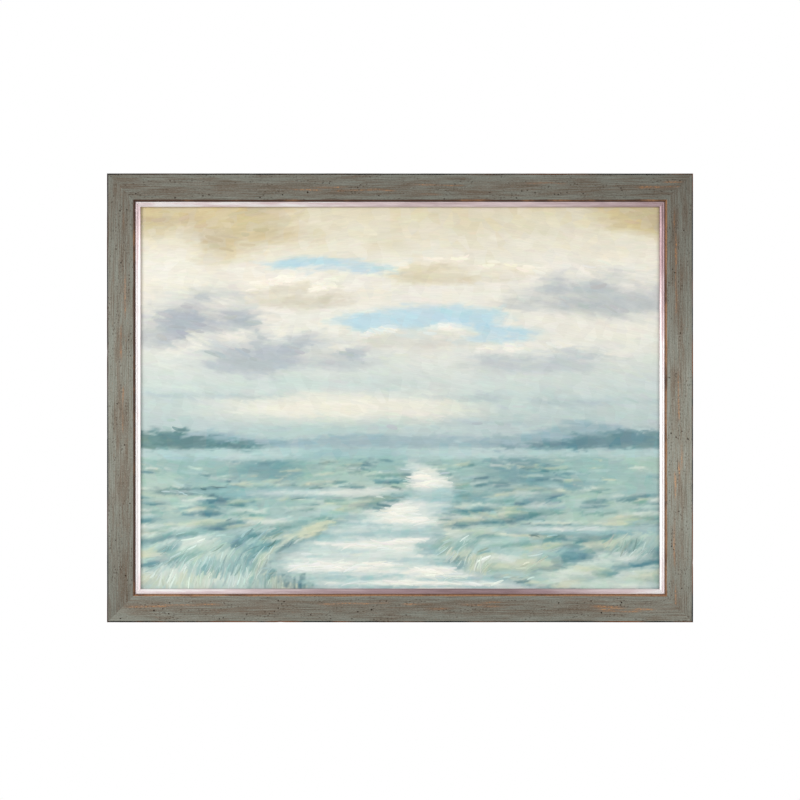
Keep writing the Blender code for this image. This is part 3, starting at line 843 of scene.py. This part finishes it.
for step in range(TUSSOCKS):
    away = (step / TUSSOCKS) ** 0.8
    at = (chance.uniform(-0.03, 1.03), horizon + 0.036 + (1.0 - horizon) * 1.02 * away ** 1.35 * 0.97)
    size = (0.012 + 0.055 * away) * chance.uniform(0.6, 1.3)
    lit = LIT_GRASS[int(chance.integers(len(LIT_GRASS)))]
    shade = DARK_GRASS[int(chance.integers(len(DARK_GRASS)))]
    heaped(meadow, at, (size, size * (0.20 + 0.30 * away)), lit, np.array(shade) + 12 * away, 0.86, 2.2)
picture = picture * (1 - bank[..., None]) + meadow * bank[..., None]
undercut = ease(off_creek, -0.006, 0.000) * ease(off_creek, 0.016, 0.006)
undercut = undercut * ease(v, horizon + 0.03, horizon + 0.05) * ease(clouded(u, v, 211, 12), -0.35, 0.15)
brow = 0.7 * ease(off_creek, 0.012, 0.018) * ease(off_creek, 0.034, 0.020) * way_down * bank
water = (1 - bank) * ease(v, horizon + 0.030, horizon + 0.036)
picture = washed(picture, [
    (0.9 * undercut, (68, 106, 116)),
    (brow, (222, 222, 192)),
    (water * 0.85, (204, 219, 214)),
    (water * ease(bands, 0.0, 0.35) * 0.85, (238, 239, 230)),
    (water * ease(bands, -0.12, -0.5) * 0.7, (150, 188, 190)),
    (water * ease(off_creek, -0.05, -0.004) * 0.6, (122, 162, 164)),
    (water * 0.7 * np.exp(-(((u - 0.50) / 0.12) ** 2)) * ease(bands, -0.3, 0.3), (248, 244, 231)),
])
picture = np.clip(picture, 0, 255)

# The way the brush goes: round the clouds in the sky, level on the water, along the banks, up in the grass
tufts = clouded(u, v * 2.6, 200, 8)
slope = 0.42 * clouded(u, v, 220, 2.5) * ease(v, horizon, horizon - 0.15) + 0.05 * ragged
meander = np.gradient(creek_middle, axis=0) / np.maximum(np.gradient(v, axis=0), 1e-6)
lean = np.clip(meander * cloth_half_w / cloth_half_h, -3, 3)
along_bank = -np.sign(lean + 1e-6) * (math.pi / 2 - np.arctan(np.abs(lean))) * 0.30
slope = slope + bank * (0.5 * along_bank * way_down + 0.22 * tufts)
grassy = bank * ease(v + 0.04 * tufts, 0.82, 0.95) * ease(clouded(u, v, 228, 7), -0.30, 0.15)
slope = slope * (1 - grassy) + grassy * (1.35 + 0.5 * clouded(u, v, 230, 6))


def brushed(picture, slope, passes):
    """Paints the picture in overlapping strokes, and gives its colours and how thick the paint lies."""
    painted = picture.copy()
    thick = np.full(picture.shape[:2], 0.35)
    for count, length, width, cover, seed, zone in passes:
        chance = np.random.default_rng(seed)
        places = chance.choice(zone.size, size=count, p=zone.ravel() / zone.sum())
        for place in places:
            y, x = divmod(int(place), picture.shape[1])
            stroke = length * chance.uniform(0.6, 1.4) / SPECK
            hand = width * chance.uniform(0.6, 1.4) / SPECK
            angle = slope[y, x] + chance.normal(0, 0.15)
            bend = chance.normal(0, 0.18) / stroke
            colour = picture[y, x] + chance.normal(0, 2.8) + chance.normal(0, 1.8, 3)
            reach = int(stroke / 2 + hand / 2) + 2
            y0, y1 = max(0, y - reach), min(picture.shape[0], y + reach + 1)
            x0, x1 = max(0, x - reach), min(picture.shape[1], x + reach + 1)
            right = np.arange(x0, x1)[None, :] - x
            up = y - np.arange(y0, y1)[:, None]
            forward = right * math.cos(angle) + up * math.sin(angle)
            aside = up * math.cos(angle) - right * math.sin(angle) - bend * forward ** 2
            hair = np.interp(aside / hand * 8 + 4, np.arange(9), chance.uniform(0.35, 1.0, 9))
            edge = np.clip((hand / 2 - np.abs(aside)) / 1.2 + 0.5, 0, 1)
            ends = np.clip((stroke / 2 - np.abs(forward) + (hair - 0.6) * hand) / (0.10 * stroke), 0, 1)
            amount = cover * edge * ends * (0.5 + 0.5 * hair)
            spot = painted[y0:y1, x0:x1]
            spot += amount[..., None] * (colour + (hair[..., None] - 0.65) * 6 - spot)
            lie = thick[y0:y1, x0:x1]
            lie += amount * (0.25 + 0.6 * hair + 0.25 * (edge < 0.9) - lie)
    return np.clip(painted, 0, 255), thick


busy = np.hypot(*np.gradient(picture.sum(axis=2)))
busy = np.where(v < horizon, 0.05, 0.22) + np.clip(busy / 24, 0, 2.0)
everywhere = np.ones_like(busy)
painted, thick = brushed(picture, slope, [
    (1100, 0.090, 0.0160, 0.62, 301, everywhere),
    (4000, 0.050, 0.0080, 0.62, 302, everywhere * 0.5 + busy),
    (11000, 0.024, 0.0038, 0.80, 303, busy),
])

UPRIGHT_STEPS = 330
LEVEL_STEPS = 258
cloth, row, column = gridded("painted_canvas", LEVEL_STEPS, UPRIGHT_STEPS)
x = (2 * row / LEVEL_STEPS - 1) * cloth_half_w
z = middle_z + (2 * column / UPRIGHT_STEPS - 1) * cloth_half_h


def sampled(raster, x, z):
    """The value of a raster of the picture at points on the cloth."""
    at_x = np.clip((x + cloth_half_w) / SPECK - 0.5, 0, wide - 1.001)
    at_y = np.clip((middle_z + cloth_half_h - z) / SPECK - 0.5, 0, tall - 1.001)
    i = at_y.astype(int)
    j = at_x.astype(int)
    a = at_y - i
    b = at_x - j
    if raster.ndim == 3:
        a = a[:, None]
        b = b[:, None]
    upper = raster[i, j] * (1 - b) + raster[i, j + 1] * b
    lower = raster[i + 1, j] * (1 - b) + raster[i + 1, j + 1] * b
    return upper * (1 - a) + lower * a


def away_from_edge(x, z):
    """How far points of the picture lie inside the cloth's edge."""
    return np.minimum(cloth_half_w - np.abs(x), cloth_half_h - np.abs(z - middle_z))


lift = 0.00042 * (sampled(thick, x, z) - 0.4) * np.clip((away_from_edge(x, z) - 0.0065) / 0.006, 0, 1)
lay(cloth, x, cloth_front - lift, z)
cloth.data.uv_layers[0].name = "OFBake"


def folded_on(inset_from, inset_to, step_back):
    """Pulls the selected border of the cloth on to its next line, inwards and towards the wall."""
    bpy.ops.mesh.extrude_edges_move(TRANSFORM_OT_translate={"value": (0.0, step_back, 0.0)})
    shrink_x = (cloth_half_w - inset_to) / (cloth_half_w - inset_from)
    shrink_z = (cloth_half_h - inset_to) / (cloth_half_h - inset_from)
    bpy.ops.transform.resize(value=(shrink_x, 1.0, shrink_z), center_override=(0.0, cloth_front, middle_z))


cloth_back = cloth_high.y
side_depth = cloth_back - cloth_front
opened(cloth, "EDGE")
bpy.ops.mesh.select_all(action="DESELECT")
bpy.ops.mesh.select_non_manifold()
folded_on(0.0, 0.0, side_depth * 0.5)
folded_on(0.0, 0.0, side_depth * 0.5)
folded_on(0.0, MARGIN * 0.5, 0.0)
folded_on(MARGIN * 0.5, MARGIN, 0.0)
folded_on(MARGIN, MARGIN, -CLOTH)
folded_on(MARGIN, CLOTH, 0.0)
folded_on(CLOTH, CLOTH, CLOTH * 2 - side_depth)
bpy.ops.mesh.edge_face_add()
outwards()

x, y, z = listed(cloth.data.vertices, "co", wide=3).T
count = len(x)
fronted = np.arange(count) < (LEVEL_STEPS + 1) * (UPRIGHT_STEPS + 1)
slack = drift(x / 0.05, z / 0.05, 320)
margin = ~fronted & (np.abs(y - cloth_back) < 1e-5)
past_fold = (cloth_half_w - np.abs(x)) - (cloth_half_h - np.abs(z - middle_z))
flap = ease(past_fold, 0.013, 0.010) * (past_fold > -1e-6)
y = y + np.where(margin, 0.0002 * slack + 0.0005 * flap, 0.0)
lay(cloth, x, y, z)
# How far each point of the margin lies from the diagonal fold at its corner, for a painted shadow line
mark(cloth, "fold_shadow", np.where(margin, np.abs(past_fold) * 1000, 30.0))
tint = np.array([(value / 255) ** 2.2 for value in sampled(painted, x, z).T]).T
mark(cloth, "oils", np.column_stack([tint, np.ones(count)]))
mark(cloth, "raw", np.where(fronted, 0.0, 1.0))
heading = sampled(np.stack([np.cos(slope), np.sin(slope)], axis=2), x, z)
mark(cloth, "heading", np.column_stack([heading, sampled(thick, x, z)]))

corner = listed(cloth.data.loops, "vertex_index", int)
sizes = listed(cloth.data.polygons, "loop_total", int)
face_of = np.repeat(np.arange(len(sizes)), sizes)
front_face = np.ones(len(sizes), dtype=bool)
np.logical_and.at(front_face, face_of, fronted[corner])
at_front = front_face[face_of]
at_back = (listed(cloth.data.polygons, "normal", wide=3)[:, 1] > 0.9)[face_of]
behind = (sizes > 100)[face_of]
flat_u = (x[corner] + cloth_half_w) / (2 * cloth_half_w)
flat_v = (z[corner] - middle_z + cloth_half_h) / (2 * cloth_half_h)
rest_u = np.where(behind, 0.02 + flat_u * 0.43, np.where(at_back, 0.50 + flat_u * 0.43, 0.96 + flat_u * 0.03))
place_u = np.where(at_front, flat_u * 0.99 + 0.005, rest_u)
place_v = np.where(at_front, flat_v * 0.72 + 0.005, 0.75 + flat_v * 0.24)
cloth.data.uv_layers["OFBake"].data.foreach_set("uv", np.stack([place_u, place_v], axis=1).ravel())
smooth(cloth, 50)
def greater(first, second):
    """The greater of two values."""
    return node(first.id_data, "Math", {0: first, 1: second}, operation="MAXIMUM").outputs[0]


def threads(way, scale):
    """The threads that run one way through the cloth."""
    wave = {"Vector": flat, "Scale": scale, "Distortion": 0.6, "Detail": 1.0}
    return node(tree, "TexWave", wave, bands_direction=way).outputs[1]


oils, tree, shader = finish("oil_on_canvas")
place = node(tree, "TexCoord", {}).outputs["Object"]
axes = node(tree, "SeparateXYZ", {0: place})
flat = node(tree, "CombineXYZ", {0: axes.outputs[0], 1: axes.outputs[2]}).outputs[0]
spread = {"Vector": flat, "Scale": 48.0, "Randomness": 1.0}
cells = node(tree, "TexVoronoi", spread, voronoi_dimensions="2D", feature="F1")
from_middle = node(tree, "VectorMath", {0: flat, 1: cells.outputs["Position"]}, operation="SUBTRACT")
part = node(tree, "SeparateXYZ", {0: from_middle.outputs[0]})
turn = node(tree, "SeparateXYZ", {0: kept(tree, "heading", "Vector")})
forward = plus(times(part.outputs[0], turn.outputs[0]), times(part.outputs[1], turn.outputs[1]))
aside = less(times(part.outputs[1], turn.outputs[0]), times(part.outputs[0], turn.outputs[1]))
which = node(tree, "SeparateColor", {0: cells.outputs["Color"]})
hairs = node(tree, "CombineXYZ", {0: forward, 1: aside, 2: which.outputs[0]}).outputs[0]
bristle = grained(hairs, (26.0, 620.0, 40.0), 3.0, 0.6)
tone = times(between(which.outputs[1], 0.0, 1.0, 0.962, 1.012), between(bristle, 0.3, 0.7, 0.965, 1.03))
vivid = between(which.outputs[2], 0.0, 1.0, 0.9, 1.12)
colour = {"Value": tone, "Saturation": vivid, "Color": kept(tree, "oils", "Color")}
colour = node(tree, "HueSaturation", colour).outputs[0]
weave = greater(threads("X", 210.0), threads("Y", 200.0))
slubs = greater(grained(flat, (22.0, 800.0, 0.0), 2.0), grained(flat, (800.0, 22.0, 0.0), 2.0))
duck = layered(linear(212, 201, 178), [
    (slubs, 0.50, 0.75, 0.7, (188, 173, 145)),
    (weave, 0.75, 0.35, 0.45, (150, 134, 108)),
    (grained(flat, (9.0, 9.0, 0.0)), 0.5, 0.7, 0.12, (166, 142, 104)),
    # a painted shadow line along the diagonal folds at the margin's corners
    (kept(tree, "fold_shadow"), 1.1, 0.3, 0.6, (116, 100, 76)),
])
colour = laid_over(kept(tree, "raw"), colour, duck)
relief = plus(times(bristle, 0.9), times(weave, 0.16))
dress(shader, colour, between(bristle, 0.3, 0.7, 0.46, 0.60), relief, 0.5, 0.0003)
shader.inputs["Specular IOR Level"].default_value = 0.4
cloth.data.materials.append(oils)
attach(cloth, "root")
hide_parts("canvas")

# Thick strokes of oil paint that stand on the picture: lights on the clouds and the creek, and grass in
# the foreground. One stroke is shaped from a small grid, and every other one is a bent copy of it.
def placed(name, data):
    """A new object in the scene with this mesh, lamp or camera."""
    made = bpy.data.objects.new(name, data)
    bpy.context.scene.collection.objects.link(made)
    return made


def form_of(piece):
    """The points and faces of a piece that is only a pattern, and is taken away."""
    points = listed(piece.data.vertices, "co", wide=3)
    faces = [list(face.vertices) for face in piece.data.polygons]
    bpy.data.objects.remove(piece)
    return points, faces


def one_piece(name, copies, faces):
    """One piece of many copies of a form, each given by its points."""
    size = len(copies[0])
    joined = [[number * size + corner for corner in face] for number in range(len(copies)) for face in faces]
    mesh = bpy.data.meshes.new(name)
    mesh.from_pydata(np.vstack(copies).tolist(), [], joined)
    return placed(name, mesh)


def spun(right, up, angle):
    """Points turned by an angle about the origin."""
    return right * math.cos(angle) - up * math.sin(angle), right * math.sin(angle) + up * math.cos(angle)


bpy.ops.mesh.primitive_grid_add(x_subdivisions=6, y_subdivisions=3, size=2)
dab = bpy.context.object
opened(dab, "EDGE")
bpy.ops.mesh.extrude_region_move(TRANSFORM_OT_translate={"value": (0.0, 0.0, 1.0)})
outwards()
shape, sides = form_of(dab)

chance = np.random.default_rng(340)
bright = picture.sum(axis=2) / 3
lights = ease(bright, 232, 243) * busy * (v < horizon)
glints = water * ease(bright, 222, 232) * (v > horizon + 0.03)
grass = grassy + 0.5 * undercut
shadows = ease(bright, 205, 185) * (v < horizon - 0.04) * 0.5
# How many, where, their length and width, how much lighter, how far their tones differ, and their height
KINDS = [
    (230, lights, 0.022, 0.0060, 6, 3, 0.00055),
    (90, shadows, 0.028, 0.0070, -8, 3, 0.00040),
    (170, glints, 0.034, 0.0040, 8, 3, 0.00050),
    (330, grass, 0.024, 0.0030, 6, 16, 0.00050),
]
all_points = []
all_tints = []
all_hairs = []
within = away_from_edge((u - 0.5) * 2 * cloth_half_w, middle_z + (0.5 - v) * 2 * cloth_half_h) > 0.012
for count, zone, length, width, lighter, spread, height in KINDS:
    inner = zone * within
    for place in chance.choice(inner.size, size=count, p=inner.ravel() / inner.sum()):
        at_y, at_x = divmod(int(place), wide)
        stroke = length * chance.uniform(0.55, 1.4) / 2
        hand = width * chance.uniform(0.6, 1.35) / 2
        angle = slope[at_y, at_x] + chance.normal(0, 0.16)
        forward = shape[:, 0] * stroke
        taper = 1 - 0.55 * np.abs(shape[:, 0]) ** 3
        aside = shape[:, 1] * hand * taper + chance.normal(0, 0.10) * forward ** 2 / stroke
        crest = np.where(np.abs(shape[:, 1]) > 0.9, 0.0, 1.0) * (1 - np.abs(shape[:, 0]) ** 4)
        rise = np.where(shape[:, 2] > 0.5, height * crest * chance.uniform(0.6, 1.2) + 0.0002, -0.0001)
        right, up = spun(forward, aside, angle)
        right = right + (at_x + 0.5) * SPECK - cloth_half_w
        up = up + middle_z + cloth_half_h - (at_y + 0.5) * SPECK
        all_points.append(np.stack([right, cloth_front - rise, up], axis=1))
        base = painted[at_y, at_x] + lighter + chance.normal(0, spread) + chance.normal(0, 2.5, 3)
        here = sampled(painted, right, up) * 0.35 + base * 0.65
        all_tints.append((np.clip(here, 20, 252) / 255) ** 2.2)
        all_hairs.append(np.stack([forward, aside, np.full(len(forward), chance.uniform(0, 50))], axis=1))
strokes = one_piece("paint_strokes", all_points, sides)
tints = np.vstack(all_tints)
mark(strokes, "oils", np.column_stack([tints, np.ones(len(tints))]))
mark(strokes, "hairs", np.vstack(all_hairs))
smooth(strokes, 60)

thick_oils, tree, shader = finish("thick_oil_paint")
hairs = kept(tree, "hairs", "Vector")
bristle = grained(hairs, (18.0, 900.0, 1.0), 3.0, 0.6)
colour = {"Value": between(bristle, 0.3, 0.7, 0.95, 1.04), "Color": kept(tree, "oils", "Color")}
colour = node(tree, "HueSaturation", colour).outputs[0]
dress(shader, colour, between(bristle, 0.3, 0.7, 0.40, 0.55), bristle, 0.7, 0.0003)
strokes.data.materials.append(thick_oils)
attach(strokes, "root")

# Staples: flat steel wire, shot through the folded margin into the backs of the bars, about 65 mm apart.
# One is shaped from a bar, and the rest are copies of it.
WIRE = (0.0096, 0.0006, 0.0011)
LEG_STARTS = 0.0034
LEG_BEND = 0.0014
LEG_FALL = 0.0011


def eased(piece, width, segments, degrees):
    """Rounds off the edges of a piece that are sharper than this."""
    bevel = piece.modifiers.new("eased", "BEVEL")
    bevel.width = width
    bevel.segments = segments
    bevel.limit_method = "ANGLE"
    bevel.angle_limit = math.radians(degrees)
    bpy.ops.object.modifier_apply(modifier="eased")


bpy.ops.mesh.primitive_cube_add(size=1.0)
staple = bpy.context.object
lay(staple, *(listed(staple.data.vertices, "co", wide=3) * WIRE).T)
opened(staple)
bpy.ops.mesh.subdivide(number_cuts=3)
bpy.ops.object.mode_set(mode="OBJECT")
form = listed(staple.data.vertices, "co", wide=3)
form[:, 1] -= LEG_FALL * np.clip((np.abs(form[:, 0]) - LEG_STARTS) / LEG_BEND, 0, 1) ** 2
lay(staple, *form.T)
eased(staple, 0.00012, 1, 50)
form, sides = form_of(staple)
clip_spots = {"top": (-0.36, 0.36), "bottom": (-0.36, 0.36), "left": (0.0,), "right": (0.0,)}
chance = np.random.default_rng(360)
all_points = []
for side in SIDES:
    span = (cloth_half_w if side in ("top", "bottom") else cloth_half_h) - 0.030
    for along in np.linspace(-span, span, round(span / 0.0325) + 1):
        if any(abs(along - spot) < 0.014 for spot in clip_spots[side]):
            along += 0.024
        tilt = chance.normal(0, 0.10) + math.radians(32 if chance.random() < 0.85 else 70)
        turned, across = spun(form[:, 0], form[:, 2], tilt)
        inset = half_width - cloth_half_w + 0.0105 + chance.normal(0, 0.0008) + across
        place = at_side(side, along + turned, inset, back_y - cloth_back - 0.0004 - form[:, 1])
        all_points.append(np.stack(place, axis=1))
staples = one_piece("staples", all_points, sides)
opened(staples)
outwards()
smooth(staples, 40)


def metal(name, colour, shade, rough, stretch):
    """Bright metal with fine lines drawn along it, dulled in patches."""
    material, tree, shader = finish(name)
    place = node(tree, "TexCoord", {}).outputs["Object"]
    lines = grained(place, stretch, 3.0, 0.6)
    dull = grained(place, (70.0, 70.0, 70.0), 3.0, 0.6)
    tone = laid_over(between(dull, 0.40, 0.70, 0.0, 0.6), linear(*colour), linear(*shade))
    tone = layered(tone, [(lines, 0.55, 0.75, 0.3, shade)])
    dress(shader, tone, between(dull, 0.3, 0.7, rough, rough + 0.16), lines, 0.25, 0.0001)
    shader.inputs["Metallic"].default_value = 1.0
    return material


steel = metal("plated_steel", (204, 204, 202), (158, 156, 150), 0.28, (900.0, 900.0, 60.0))
staples.data.materials.append(steel)
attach(staples, "root")


# The turn clips and the hanging bar are pressed and extruded metal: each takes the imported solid's shape,
# with its edges eased. The clips hold the canvas in its rebate, and the bar is screwed to the top rail.
def eased_copy(name, source, width):
    """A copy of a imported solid, merged into one skin, with its sharp edges rounded off."""
    piece = placed(name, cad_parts[source].data.copy())
    piece.data.materials.clear()
    opened(piece)
    bpy.ops.mesh.remove_doubles(threshold=1e-6)
    bpy.ops.mesh.dissolve_limited(angle_limit=math.radians(2))
    bpy.ops.object.mode_set(mode="OBJECT")
    eased(piece, width, 3, 40)
    smooth(piece, 30)
    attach(piece, "root")
    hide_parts(source)
    return piece


for number in range(1, 7):
    clip = eased_copy(f"canvas_clip_{number}", f"clip_{number}", 0.00025)
    clip.data.materials.append(steel)
aluminium = metal("mill_aluminium", (206, 207, 210), (184, 186, 190), 0.38, (6.0, 1500.0, 1500.0))
hanging_bar = eased_copy("hooked_bar", "hanging_bar", 0.00022)
hanging_bar.data.materials.append(aluminium)

# Round-headed screws with a cross recess, turned and thread-rolled steel. One is modelled, with its
# recess cut by a cross, and a copy turned by chance stands at each clip and along the hanging bar.
HEAD_RADIUS = 0.0031
HEAD_HEIGHT = 0.0019
SHANK_RADIUS = 0.0015
SHANK_LENGTH = 0.0118


def rod(corners, radius, length, middle):
    """A round or many-sided rod about the z axis."""
    place = (0, 0, middle)
    bpy.ops.mesh.primitive_cylinder_add(vertices=corners, radius=radius, depth=length, location=place)
    bpy.ops.object.transform_apply(location=True, rotation=False, scale=False)
    return bpy.context.object


bpy.ops.mesh.primitive_uv_sphere_add(segments=32, ring_count=16, radius=1.0)
pattern = bpy.context.object
opened(pattern)
bpy.ops.mesh.bisect(plane_co=(0, 0, 0), plane_no=(0, 0, 1), use_fill=True, clear_inner=True)
bpy.ops.object.mode_set(mode="OBJECT")
lay(pattern, *(listed(pattern.data.vertices, "co", wide=3) * (HEAD_RADIUS, HEAD_RADIUS, HEAD_HEIGHT)).T)
cross = rod(8, 0.0016, 0.0022, 0.0020)
form = listed(cross.data.vertices, "co", wide=3)
pinch = np.where(np.arange(len(form)) // 2 % 2 == 0, 1.0, 0.34)
below_top = np.where(form[:, 2] < 0.002, 0.55, 1.0)
form[:, :2] *= (pinch * below_top)[:, None]
lay(cross, *form.T)
cut = pattern.modifiers.new("recess", "BOOLEAN")
cut.operation = "DIFFERENCE"
cut.object = cross
cut.solver = "EXACT"
bpy.context.view_layer.objects.active = pattern
bpy.ops.object.modifier_apply(modifier="recess")
bpy.data.objects.remove(cross)
shank = rod(20, SHANK_RADIUS, SHANK_LENGTH, 0.0001 - SHANK_LENGTH / 2)
picked(pattern)
shank.select_set(True)
bpy.ops.object.join()
head_form = listed(pattern.data.vertices, "co", wide=3)
chance = np.random.default_rng(380)
screw_nodes = [f"hanging_screw_{i}" for i in range(1, 5)] + [f"clip_screw_{i}" for i in range(1, 7)]
for screw_node in screw_nodes:
    low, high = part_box(screw_node)
    turn = chance.uniform(0, math.pi)
    screw = placed(screw_node.replace("screw", "fixing_screw"), pattern.data.copy())
    across, upward = spun(head_form[:, 0], head_form[:, 1], turn)
    middle = (low + high) / 2
    lay(screw, middle.x + across, high.y - HEAD_HEIGHT + head_form[:, 2], middle.z - upward)
    smooth(screw, 35)
    screw.data.materials.append(steel)
    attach(screw, "root")
    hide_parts(screw_node)
bpy.data.objects.remove(pattern)

# Two rubber bumpers, moulded domes stuck to the bottom corners, that keep the frame off the wall.
rubber, tree, shader = finish("grey_rubber")
place = node(tree, "TexCoord", {}).outputs["Object"]
dust = grained(place, (160.0, 160.0, 160.0), 3.0, 0.6)
colour = laid_over(between(dust, 0.5, 0.75), linear(74, 74, 75), linear(108, 106, 102))
pitted = grained(place, (900.0, 900.0, 900.0))
dress(shader, colour, between(dust, 0.4, 0.7, 0.72, 0.9), pitted, 0.3, 0.0002)
for hand in ("left", "right"):
    low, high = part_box(f"bumper_{hand}")
    middle = (low + high) / 2
    size = {"vertices": 40, "radius": high.x - middle.x, "depth": high.y - low.y}
    bpy.ops.mesh.primitive_cylinder_add(**size, location=middle, rotation=(math.pi / 2, 0, 0))
    bumper = bpy.context.object
    bumper.name = f"rubber_bumper_{hand}"
    bpy.ops.object.transform_apply(location=True, rotation=True, scale=False)
    opened(bumper)
    bpy.ops.mesh.select_all(action="DESELECT")
    bpy.ops.object.mode_set(mode="OBJECT")
    for face in bumper.data.polygons:
        face.select = face.normal.y > 0.9
    bpy.ops.object.mode_set(mode="EDIT")
    bpy.ops.mesh.bevel(offset=0.0018, segments=5, affect="EDGES")
    bpy.ops.object.mode_set(mode="OBJECT")
    smooth(bumper, 40)
    bumper.data.materials.append(rubber)
    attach(bumper, "root")
    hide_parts(f"bumper_{hand}")

# The studio: a pale floor below the frame, a white surround, soft lights on both sides and one behind,
# and the camera straight in front.
bpy.ops.mesh.primitive_circle_add(vertices=96, radius=1.8, fill_type="NGON", location=(0, 0, middle_z - 1.5))
floor = bpy.context.object
floor.name = "floor"
ground, tree, shader = finish("pale_floor")
shader.inputs["Base Color"].default_value = linear(226, 225, 222)
shader.inputs["Roughness"].default_value = 0.8
floor.data.materials.append(ground)
floor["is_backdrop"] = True

world = bpy.data.worlds.new("studio")
world.use_nodes = True
bpy.context.scene.world = world
tree = world.node_tree
tree.nodes.clear()
seen = tree.nodes.new("ShaderNodeLightPath").outputs["Is Camera Ray"]
glow_all = node(tree, "Background", {"Color": (1.0, 1.0, 1.0, 1.0), "Strength": 0.56}).outputs[0]
white = node(tree, "Background", {"Color": (1.0, 1.0, 1.0, 1.0), "Strength": 1.0}).outputs[0]
mixed = node(tree, "MixShader", {0: seen, 1: glow_all, 2: white}).outputs[0]
tree.links.new(mixed, tree.nodes.new("ShaderNodeOutputWorld").inputs[0])


def softbox(name, place, size, power):
    """A square lamp that faces the middle of the picture."""
    data = bpy.data.lights.new(name, "AREA")
    data.size = size
    data.energy = power
    lamp = placed(name, data)
    lamp.location = place
    lamp.rotation_euler = (Vector((0, 0, middle_z)) - Vector(place)).to_track_quat("-Z", "Y").to_euler()


softbox("softbox_left", (-2.6, -2.3, middle_z + 1.1), 1.6, 62)
softbox("softbox_right", (2.8, -2.6, middle_z + 0.5), 1.6, 36)
softbox("softbox_behind", (-1.9, 2.3, middle_z + 1.4), 1.6, 50)

camera_data = bpy.data.cameras.new("camera")
camera_data.lens = 300.0
camera_data.sensor_width = 36.0
CAMERA_AWAY = 13.579
camera = placed("camera", camera_data)
camera.location = (-0.00006, back_y - 0.0336 - CAMERA_AWAY, middle_z - 0.0043)
camera.rotation_euler = (math.pi / 2, 0.0, 0.0)
bpy.context.scene.camera = camera
bpy.context.scene.view_settings.view_transform = "Standard"

low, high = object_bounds()
